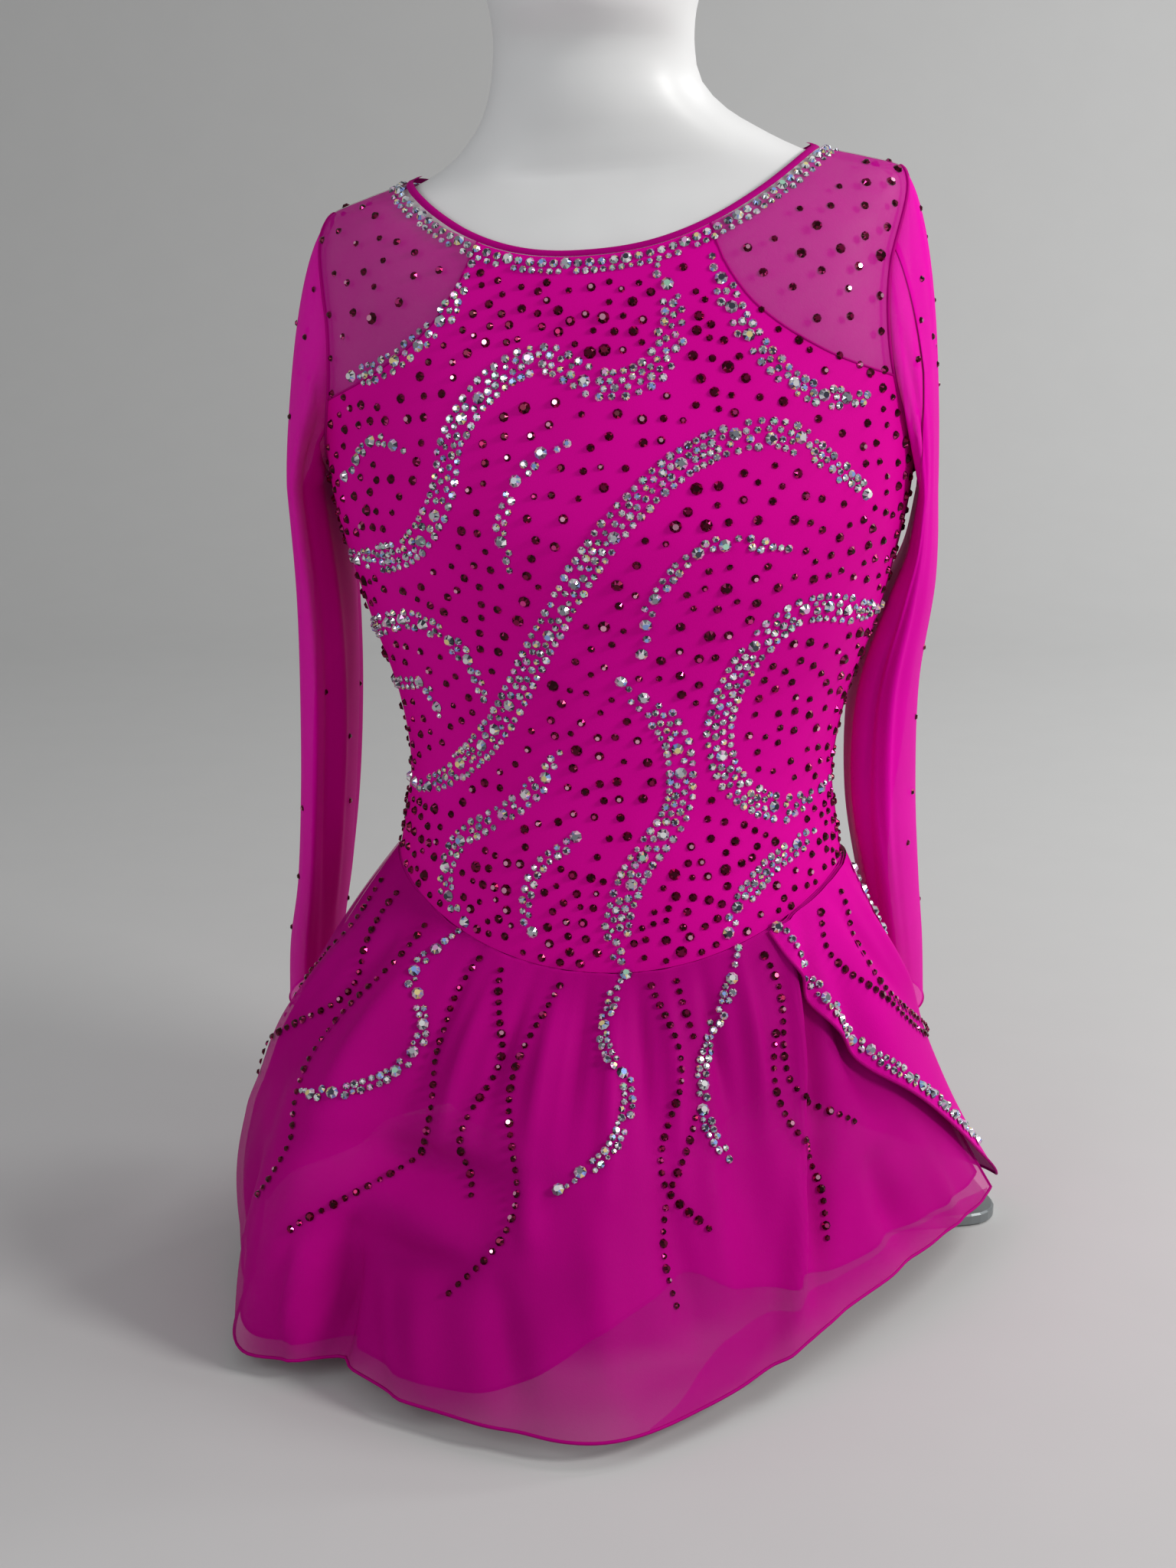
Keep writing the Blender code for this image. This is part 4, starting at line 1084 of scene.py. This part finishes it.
class Stones:
    """Stones set one by one, clear of each other, and joined into one mesh of facets at the end."""

    def __init__(self):
        self.cells = {}
        self.placed = []
        self.chooser = random.Random(STONE_SEED)

    def clear(self, place, reach):
        """Whether no stone lies nearer than reach beyond its own radius."""
        cells = itertools.product(*((c - 1, c, c + 1) for c in self.cell(place)))
        near = (stone for cell in cells for stone in self.cells.get(cell, ()))
        return all((other - place).length >= reach + radius for other, radius in near)

    def cell(self, place):
        return tuple(int(floor(c / STONE_CELL)) for c in place)

    def add(self, place, normal, radius, kind, gap):
        if not self.clear(place, radius + gap):
            return False
        self.cells.setdefault(self.cell(place), []).append((place, radius))
        self.placed.append((place, normal, radius, kind))
        return True

    def add_clear(self, place, normal, radii):
        """Sets the first, and largest, of some clear stones that has room."""
        for radius in radii:
            if self.add(place, normal, radius, "clear", CLEAR_GAP):
                break

    def band(self, spots, rows):
        """A band of clear stones, some rows wide, set close along a line of spots round a few large ones."""
        chooser = self.chooser
        for place, normal in spaced(spots, CLEAR_BIG_EVERY):
            if chooser.random() < CLEAR_BIG_SHARE:
                shift = Vector((chooser.gauss(0, CLEAR_BIG_JITTER), 0, chooser.gauss(0, CLEAR_BIG_JITTER)))
                self.add_clear(place + shift - normal * shift.dot(normal), normal, (CLEAR_BIG,))
        line = spaced(spots, CLEAR_PITCH)
        for i, (place, normal) in enumerate(line):
            along = (line[min(i + 1, len(line) - 1)][0] - line[max(i - 1, 0)][0]).normalized()
            across = normal.cross(along).normalized()
            share = i / max(len(line) - 1, 1)
            here = max(1, rows * min(1, BAND_TIP + BAND_WIDENS * min(share, 1 - share)))
            count = max(1, int(here + chooser.uniform(0, BAND_RAGGED)))
            for k in range(count):
                off = (k - (count - 1) / 2) * CLEAR_PITCH + chooser.gauss(0, CLEAR_JITTER)
                slide = chooser.gauss(0, CLEAR_JITTER) + (CLEAR_PITCH / 2 if k % 2 else 0)
                radius = CLEAR_RADIUS if chooser.random() > CLEAR_LESS_SHARE else CLEAR_RADIUS_LESS
                spot = place + across * off + along * slide
                self.add_clear(spot, normal, [radius * shrink for shrink in CLEAR_SHRINKS])

    # A facet's tint from its kind's table, painted glints and painted shade among them; a ruby's table may
    # get the painted glint
    def tint_and_glint(self, kind, on_table=False):
        if on_table and kind == "ruby" and self.chooser.random() < RUBY_PAINTED_GLINT_SHARE:
            return RUBY_PAINTED_GLINT
        tints_and_glints, shares = zip(*(CLEAR_TINTS_AND_GLINTS if kind == "clear" else RUBY_TINTS_AND_GLINTS))
        base = self.chooser.choices(tints_and_glints, shares)[0]
        level = self.chooser.uniform(*TINT_LEVELS)
        return tuple(c * level for c in base)

    def build(self, kind):
        """One mesh of all the stones of a kind, each a flat table in a ring of facets, every facet tinted,
        some with painted glints and painted shade.
        """
        points = []
        faces = []
        tints_and_glints = []
        for place, normal, radius, of_kind in self.placed:
            if of_kind != kind:
                continue
            across = normal.orthogonal().normalized()
            up = normal.cross(across)
            turn = self.chooser.uniform(0, pi)
            lean_x = self.chooser.gauss(0, STONE_TILT)
            lean_y = self.chooser.gauss(0, STONE_TILT)
            sides = 8 if radius > STONE_EIGHT_SIDED_FROM else 6
            first = len(points)
            for ring, (share, rise) in enumerate(((1.0, 0.0), (STONE_TABLE, STONE_HEIGHT))):
                for k in range(sides):
                    a = turn + 2 * pi * (k + 0.5 * ring) / sides
                    spoke = across * cos(a) + up * sin(a)
                    lift = rise * radius + (lean_x * cos(a) + lean_y * sin(a)) * radius * share
                    points.append(place + AXIS + spoke * radius * share + normal * (lift + STONE_LIFT))
            for k in range(sides):
                j = (k + 1) % sides
                faces.append((first + k, first + j, first + sides + k))
                faces.append((first + j, first + sides + j, first + sides + k))
                tints_and_glints += [self.tint_and_glint(kind)] * 3 + [self.tint_and_glint(kind)] * 3
            faces.append(tuple(first + sides + k for k in range(sides)))
            tints_and_glints += [self.tint_and_glint(kind, on_table=True)] * sides
        obj = add_mesh(kind + "_stones", points, faces, smooth=False)
        layer = obj.data.color_attributes.new("tint_and_glint", "FLOAT_COLOR", "CORNER")
        layer.data.foreach_set("color", [c for tint_and_glint in tints_and_glints for c in (*tint_and_glint, 1.0)])
        finish_piece(obj, kind)


def spaced(spots, gap):
    """The spots that lie a gap apart along a line of (place, normal) pairs."""
    kept = [spots[0]]
    for spot in spots[1:]:
        if (spot[0] - kept[-1][0]).length >= gap:
            kept.append(spot)
    return kept


def curve_points(control, step=0.002):
    """Points a step apart along a smooth curve through two-number control points."""
    ends = [tuple(2 * a - b for a, b in zip(control[0], control[1]))]
    ends += list(control)
    ends += [tuple(2 * a - b for a, b in zip(control[-1], control[-2]))]

    def between(a, b, c, d, t):
        square = (2 * a - 5 * b + 4 * c - d) * t * t
        return 0.5 * (2 * b + (c - a) * t + square + (3 * b - a - 3 * c + d) * t**3)

    points = []
    for p, q, r, s in zip(ends, ends[1:], ends[2:], ends[3:]):
        count = max(4, int(dist(q, r) / step))
        for k in range(count):
            points.append(tuple(between(*column, k / count) for column in zip(p, q, r, s)))
    points.append(tuple(control[-1]))
    return points


def across_spot(x, z, side):
    """Where a stone sits across and up the front (-1) or back (1) of the body, and its outward direction."""
    return body_out(angle_across(x or NEARLY_ZERO, z, side), z)


def body_out(angle, z):
    low = body(angle, z, SHELL_OUT + STONE_OVER_CLOTH)
    return low, (body(angle, z, SHELL_OUT + STONE_OVER_CLOTH + OUT_STEP) - low).normalized()


def skirt_spot(angle, share, away):
    """Where a stone sits on the skirt, and its outward direction; away is a function of angle and share."""
    def at(a, s):
        return skirt(a, s, away(a, s) + STONE_OVER_SKIRT)

    turn = 0.6
    drop = 0.01
    along = at(angle + turn, share) - at(angle - turn, share)
    down = at(angle, min(share + drop, 1)) - at(angle, max(share - drop, 0))
    normal = down.cross(along).normalized()
    return at(angle, share) + normal * STONE_OFF_SKIRT, normal


def in_armhole(angle, z, margin):
    """Whether a place on the body lies in an armhole or within a margin of it."""
    share = (z - ARMHOLE_BOTTOM_Z + margin) / (ARMHOLE_TOP_Z - ARMHOLE_BOTTOM_Z + 2 * margin)
    if not 0 < share < 1:
        return False
    from_side = min(abs(angle), pi - abs(angle))
    return from_side < ARMHOLE_ANGLE * sin(pi * share) ** ARMHOLE_POWER + margin / BODY_SIDE_RADIUS


def add_stage():
    """Camera, pale floor that curves up into a backdrop, and soft lights."""
    scene = bpy.context.scene
    right = Vector((cos(CAMERA_TURN), sin(CAMERA_TURN), 0))
    ahead = Vector((-sin(CAMERA_TURN), cos(CAMERA_TURN), 0))
    camera = bpy.data.objects.new("camera", bpy.data.cameras.new("camera"))
    camera.data.lens = CAMERA_LENS
    camera.location = AXIS - right * AXIS_RIGHT_OF_VIEW - ahead * CAMERA_DISTANCE
    camera.location += Vector((0, 0, CAMERA_HEIGHT))
    camera.rotation_euler = (pi / 2 - CAMERA_PITCH, 0, CAMERA_TURN)
    scene.collection.objects.link(camera)
    scene.camera = camera

    rows = [(y, 0.0) for y in (*FLOOR_NEAR, FLOOR_DEPTH)]
    for a in spread(0.1, pi / 2, FLOOR_CURVE_STEPS):
        rows.append((FLOOR_DEPTH + FLOOR_CURVE * sin(a), FLOOR_CURVE * (1 - cos(a))))
    rows.append((FLOOR_DEPTH + FLOOR_CURVE, FLOOR_TOP))
    columns = []
    for across in (-FLOOR_HALF_WIDTH, FLOOR_HALF_WIDTH):
        columns.append([right * across + ahead * y + Vector((0, 0, z - FLOOR_BELOW)) - AXIS for y, z in rows])
    ground = grid_mesh("floor", columns)
    ground.data.materials.append(plain_material("pale_floor", FLOOR_PALE, 0.8, change=0.01))

    for name, place, target, size, power, colour in LIGHTS:
        data = bpy.data.lights.new(name, "AREA")
        data.shape = "DISK"
        data.size = size
        data.energy = power
        data.color = colour
        light = bpy.data.objects.new(name, data)
        light.location = right * place[0] + ahead * place[1] + Vector((0, 0, place[2]))
        light.rotation_euler = (Vector(target) - light.location).to_track_quat("-Z", "Y").to_euler()
        scene.collection.objects.link(light)
    scene.world = bpy.data.worlds.new("studio")
    scene.world.use_nodes = True
    background = scene.world.node_tree.nodes["Background"]
    background.inputs["Color"].default_value = WORLD_COLOUR
    background.inputs["Strength"].default_value = WORLD_STRENGTH
    scene.view_settings.view_transform = "Standard"


def add_form():
    heights = []
    for low, high in zip(BODY, BODY[1:]):
        steps = max(2, round((high[0] - low[0]) / FORM_ROW_HEIGHT))
        heights += spread(low[0], high[0], steps)[:-1]
    heights.append(BODY[-1][0])
    columns = []
    for angle in spread(0, 2 * pi, FORM_TURNS)[:-1]:
        column = []
        for z in heights:
            inset = FORM_INSET if z > FORM_BRIEFS_Z else FORM_INSET + FORM_INSET_MORE
            column.append(body(angle, z, -inset))
        column[0].z = heights[0]
        columns.append(column)
    form = grid_mesh("form_skin", columns, closed=True, capped=True)
    form.data.set_sharp_from_angle(angle=FORM_SHARP_FROM)
    finish_piece(form, "form", ["form_torso"])
    for name in ("form_plate", "form_post_left", "form_post_right"):
        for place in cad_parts[name].material_slots:
            place.link = "OBJECT"
            place.material = LOOKS["plate"][0]


def add_bodice():
    for side, place, yoke_area in ((-1, "front", 0.0105), (1, "back", 0.0096)):
        grid = panel_grid(side, PANEL_ROWS)
        columns = [[body(angle, z, SHELL_OUT) for angle, z in column] for column in grid]
        add_cloth("bodice_" + place, "knit", columns)
        patch = yoke_patch(side)
        for mirrored, label in ((False, "right"), (True, "left")):
            def at(angle, z, out=SHELL_OUT):
                return body(side * pi - angle if mirrored else angle, z, out)

            def yoke(ups, out=SHELL_OUT):
                return [[at(*patch(s, t), out) for t in ups] for s in spread(0, 1, YOKE_LINE_STEPS)]

            name = "yoke_" + place + "_" + label
            add_cloth(name, "yoke", yoke(spread(0, 1, YOKE_ARMHOLE_STEPS)))
            if side < 0:
                seam = yoke(SHOULDER_SEAM_SHARES, SHELL_OUT + SHOULDER_SEAM_OUT)
                finish_piece(grid_mesh("shoulder_seam_" + label, seam), "seam_mesh")
            line = [at(angle_across(x, z, side), z) for x, z in yoke_rows(side)]
            add_trim("yoke_seam_" + place + "_" + label, "seam", line, YOKE_SEAM_RADIUS)
    angles = spread(0, 2 * pi, BASQUE_SEAM_TURNS)[:-1]
    line = [body(a, basque_z(a), SHELL_OUT - BASQUE_SEAM_IN) for a in angles]
    add_trim("basque_seam", "knit", line, BASQUE_SEAM_RADIUS, closed=True)
    for middle, way, label in ((pi, -1, "left"), (0, 1, "right")):
        ring = []
        for turn in spread(-pi, pi, ARMHOLE_SEAM_TURNS)[:-1]:
            angle, z = armhole(abs(turn), 0)
            angle = -angle if turn < 0 else angle
            ring.append(body(middle + way * angle, z, SHELL_OUT))
        add_trim("armhole_seam_" + label, "seam", ring, ARMHOLE_SEAM_RADIUS, closed=True)
        line = [body(middle, z, SHELL_OUT) for z in spread(BASQUE_SIDE_Z, ARMHOLE_BOTTOM_Z, SIDE_SEAM_STEPS)]
        add_trim("side_seam_" + label, "seam", line, SIDE_SEAM_RADIUS)


def add_binding():
    half = spread(0, YOKE_NECK_X, NECK_MIDDLE_STEPS)[:-1]
    half += [neck_across(t) for t in spread(0, 1, YOKE_ARMHOLE_STEPS)]
    across = [(-x, -1) for x in half[::-1]] + [(x, -1) for x in half[1:]]
    across += [(x, 1) for x in half[-2::-1]] + [(-x, 1) for x in half[1:-1]]
    columns = []
    for x, side in across:
        x = x or NEARLY_ZERO
        low_z = neckline_z(x, side) + SEAM_GAP
        high_z = neckline_z(x, side) + BINDING
        narrow = x * (1 - BINDING * BINDING_LEAN / NECK_X)
        column = []
        for t in spread(0, 1, BINDING_ROWS):
            z = low_z + (high_z - low_z) * t
            out = BODY_EASE + BINDING_THICK * (BINDING_EDGE + BINDING_SWELL * sin(pi * t))
            column.append(body(angle_across(x + (narrow - x) * t, z, side), z, out))
        columns.append(column)
    add_cloth("neck_binding", "binding", columns, closed=True)


def sleeve_spot(table, side, turn, share):
    """Place and outward direction of a point of a sleeve, creases included."""
    turn = (turn + pi) % (2 * pi) - pi
    push = creased(SLEEVE_CREASES, degrees(turn) * side, share) * min(share / CREASES_DEEPEN_BY, 1)
    out = Vector((side * cos(turn), -SLEEVE_FRONT_TURN * sin(turn), 0)).normalized()
    return sleeve(table, side, turn, share) + out * (push - SLEEVE_SHELL_IN), out


def sleeve_columns(table, fold, side):
    """The sleeve's cloth round it: on its front it lies folded in three."""
    plan = [("plain", t) for t in spread(0, 1, SLEEVE_TURNS)]
    plan += [("bend", 1.0), ("back", 0.0)]
    plan += [("back", t) for t in spread(0, 1, FOLD_COLUMNS)[1:]]
    plan += [("bend", 0.0)]
    plan += [("again", t) for t in spread(0, 1, SLEEVE_TURNS)[:-1]]
    columns = []
    for kind, t in plan:
        column = []
        for share in spread(0, 1, SLEEVE_LEVELS):
            low = radians(smooth_table(fold, share, 1))
            high = radians(smooth_table(fold, share, 2))
            depth = 0.0
            if kind == "plain":
                turn = FOLD_START + (high - FOLD_START) * t
            elif kind == "bend":
                turn = high + FOLD_BEND if t else low - FOLD_BEND
                depth = FOLD_DEPTH * (0.5 if t else 1.5)
            elif kind == "back":
                turn = high + (low - high) * t
                depth = FOLD_DEPTH
            else:
                turn = low + (FOLD_START + 2 * pi - low) * t
                depth = 2 * FOLD_DEPTH * (1 - eased(clamp((turn - high) / FOLD_OUT_OVER)))
            place, out = sleeve_spot(table, side, turn, share)
            column.append(place - out * depth * min(share / FOLD_DEEPENS_BY, 1))
        columns.append(column)
    return columns


def add_sleeves():
    for label, table, fold, side in (
        ("left", SLEEVE_LEFT, SLEEVE_FOLD_LEFT, -1),
        ("right", SLEEVE_RIGHT, SLEEVE_FOLD_RIGHT, 1),
    ):
        columns = sleeve_columns(table, fold, side)
        add_cloth("sleeve_" + label, "sleeve", columns, closed=True)
        cuff = [column[-1] for column in columns]
        add_trim("cuff_hem_" + label, "hem", cuff, CUFF_HEM_RADIUS, closed=True)


def add_skirt():
    shares = spread(0, 1, SKIRT_ROWS)
    under_out = UNDER_OUT + SKIRT_SHELL
    upper = []
    under = []
    for a in spread(SIDE_SEAM, FRONT_END, SKIRT_COLUMNS):
        upper.append([skirt(a, s, upper_away(a, s)) for s in shares])
        under.append([skirt(a, s * smooth_table(UNDER_HEM, a), under_out) for s in shares])
    turns = [[start + (WRAP_UPRIGHT - start) * t for start in (smooth_table(WRAP_EDGE, s) for s in shares)]
             for t in spread(0, 1, WRAP_LEANING_COLUMNS)[:-1]]
    turns += [[a] * len(shares) for a in spread(WRAP_UPRIGHT, SIDE_SEAM + 360, WRAP_UPRIGHT_COLUMNS)]
    wrap = [[skirt(a, s, wrap_away(a, s)) for a, s in zip(column, shares)] for column in turns]
    turned = []
    for a in spread(HEM_TURNED[0][0], HEM_TURNED[-1][0], HEM_TURNED_COLUMNS):
        rows = spread(1, smooth_table(HEM_TURNED, a), HEM_TURNED_ROWS)
        turned.append([skirt(a, s, upper_away(a, s) - HEM_TURNED_IN) for s in rows])
    for node, look, columns, extra, flat, area in (
        ("skirt_front_upper", "upper", upper, turned, (0.86, 0.34), 0.180),
        ("skirt_front_under", "under", under, (), (0.80, 0.30), 0.150),
        ("skirt_back_wrap", "wrap", wrap, (), (1.05, 0.30), 0.155),
    ):
        add_cloth(node, look, columns, extra=extra)
        hem = [column[-1] for column in columns]
        hem = wrap[0][:-1] + hem if columns is wrap else hem + columns[-1][-2:HEM_RUNS_UP_TO:-1]
        add_trim(node + "_hem", "hem", hem, SKIRT_HEM_RADIUS)
    strip = []
    for away, step in zip((upper_away(0, 1), SIDE_STRIP_MIDDLE_OUT, under_out), SIDE_STRIP_STEPS):
        grown = [under_out + (away - under_out) * min(s / LAYERS_PART_BY, 1) for s in shares]
        strip.append([skirt(SIDE_SEAM + step, s, out + SIDE_STRIP_OVER) for s, out in zip(shares, grown)])
    finish_piece(grid_mesh("skirt_side_seam", strip), "hem")


def add_briefs():
    foot_z = BODY[0][0]
    for side, place, area in ((-1, "front", 0.046), (1, "back", 0.052)):
        columns = []
        middle = side * pi / 2
        flat = abs(middle - angle_across(GUSSET_HALF, foot_z, side))
        for angle in spread(0, side * pi, BRIEFS_COLUMNS):
            beyond = max(abs(angle - middle) - flat, 0) / (pi / 2 - flat)
            foot = foot_z + (LEG_SIDE_Z - foot_z) * (1 - (1 - min(beyond, 1)) ** 2) ** LEG_POWER
            rows = [foot + (basque_z(angle) - foot) * t for t in spread(0, 1, BRIEFS_ROWS)]
            columns.append([body(angle, z, BRIEFS_SHELL_OUT) for z in rows])
        add_cloth("briefs_" + place, "knit", columns)
        add_trim("leg_edge_" + place, "seam", [column[0] for column in columns], LEG_EDGE_RADIUS)
    columns = []
    for x in spread(-GUSSET_HALF, GUSSET_HALF, GUSSET_COLUMNS):
        front, back = (upright(angle_across(x or NEARLY_ZERO, foot_z, side), foot_z).y for side in (-1, 1))
        columns.append([Vector((x, y, GUSSET_Z - GUSSET_UNDER)) for y in spread(front, back, GUSSET_ROWS)])
    add_cloth("briefs_gusset", "knit", columns)


def add_neck_stones(stones):
    for side in (-1, 1):
        line = [across_spot(x, neckline_z(x, side), side) for x in spread(-NECK_X, NECK_X, NECK_LINE_STEPS)]
        for row, (reach, radius, gap) in enumerate(NECK_ROWS):
            for i, (place, normal) in enumerate(spaced(line, gap)):
                k = min(range(len(line)), key=lambda j: (line[j][0] - place).length)
                along = (line[min(k + 1, NECK_LINE_STEPS)][0] - line[max(k - 1, 0)][0]).normalized()
                down = along.cross(normal).normalized()
                # Out from the neck is down where the neckline runs across, and to the side where it runs up
                up = down.z > 0 if abs(down.z) > abs(down.x) else down.x * (place.x + NECK_MIDDLE_LEFT) < 0
                down = -down if up else down
                big = row == 0 and i % NECK_BIG_EVERY == NECK_BIG_FIRST
                size = radius * (NECK_BIG if big else stones.chooser.uniform(*NECK_SIZES))
                stones.add_clear(place + down * reach, normal, (size, size * NECK_SHRINK))


def add_skirt_stones(stones):
    def spots(control, away):
        steps = curve_points([(a * SKIRT_STEP, s) for a, s in control])
        return [skirt_spot(a / SKIRT_STEP, s, away) for a, s in steps]

    for rows, control in SKIRT_BANDS:
        stones.band(spots(control, upper_away), rows)
    shares = spread(0, WRAP_EDGE_STONES_TO, WRAP_EDGE_STONES_STEPS)
    edge = [(smooth_table(WRAP_EDGE, s) + WRAP_EDGE_STONES_IN, s) for s in shares]
    stones.band([skirt_spot(a, s, wrap_away) for a, s in edge], 2)
    for rows, control in WRAP_BANDS:
        stones.band(spots(control, wrap_away), rows)
    for table, away in ((SKIRT_STRINGS, upper_away), (WRAP_STRINGS, wrap_away)):
        for angle, drift, wave, start, end in table:
            line = []
            for s in spread(start, end, RUBY_STRING_STEPS):
                way = (s - start) / (end - start)
                wander = wave * sin(2 * pi * way * RUBY_STRING_WAVES + angle)
                line.append(skirt_spot(angle + drift * way * way + wander, s, away))
            for place, normal in spaced(line, RUBY_STRING_PITCH):
                stones.add(place, normal, stones.chooser.choice(RUBY_STRING_RADII), "ruby", RUBY_GAP)


def ruby_apart(angle, z, side):
    """How far apart ruby stones lie at a place on the body, or None where there are none."""
    flat = upright(angle, z)
    across = abs(flat.x)
    if z < basque_z(angle) + RUBY_OVER_SEAM or z > NECK_POINT_Z:
        return None
    if across < NECK_X and z > neckline_z(flat.x, side) - RUBY_UNDER_NECK:
        return None
    if z > ARMHOLE_TOP_Z + RUBY_OFF_ARMHOLE and across > NECK_X or in_armhole(angle, z, RUBY_OFF_ARMHOLE):
        return None
    if side > 0 or across > YOKE_NECK_X and z > smooth_table(yoke_rows(side), across):
        return RUBY_APART_FEW
    if z > RUBY_HIGH_Z:
        return RUBY_APART_HIGH
    return RUBY_APART_LOW if z < basque_z(angle) + RUBY_LOW else RUBY_APART


def add_stones():
    stones = Stones()
    chooser = stones.chooser
    add_neck_stones(stones)
    for side, table in ((-1, FRONT_BANDS), (1, BACK_BANDS)):
        for rows, control in table:
            stones.band([across_spot(x, z, side) for x, z in curve_points(control)], rows)
    add_skirt_stones(stones)
    for _ in range(RUBY_TRIES):
        side = chooser.choice((-1, -1, 1))
        angle = side * chooser.uniform(0, pi)
        z = chooser.uniform(*RUBY_HEIGHTS)
        apart = ruby_apart(angle, z, side)
        if not apart:
            continue
        place, normal = body_out(angle, z)
        if stones.clear(place, apart * chooser.uniform(*RUBY_CLOSER) - RUBY_CLOSER_BY):
            radius = RUBY_BIG if chooser.random() > RUBY_BIG_FROM else chooser.choice(RUBY_RADII)
            stones.add(place, normal, radius, "ruby", RUBY_GAP)
    for table, side in ((SLEEVE_LEFT, -1), (SLEEVE_RIGHT, 1)):
        for _ in range(SLEEVE_RUBY_TRIES):
            turn = chooser.uniform(-pi, pi)
            share = chooser.uniform(*SLEEVE_RUBY_SHARES)
            place, normal = sleeve_spot(table, side, turn, share)
            if stones.clear(place, SLEEVE_RUBY_APART if share > SLEEVE_RUBY_TOP else SLEEVE_RUBY_APART_TOP):
                stones.add(place, normal, SLEEVE_RUBY, "ruby", RUBY_GAP)
    stones.build("clear")
    stones.build("ruby")


add_stage()
LOOKS = make_looks()
add_form()
add_bodice()
add_binding()
add_sleeves()
add_skirt()
add_briefs()
add_stones()
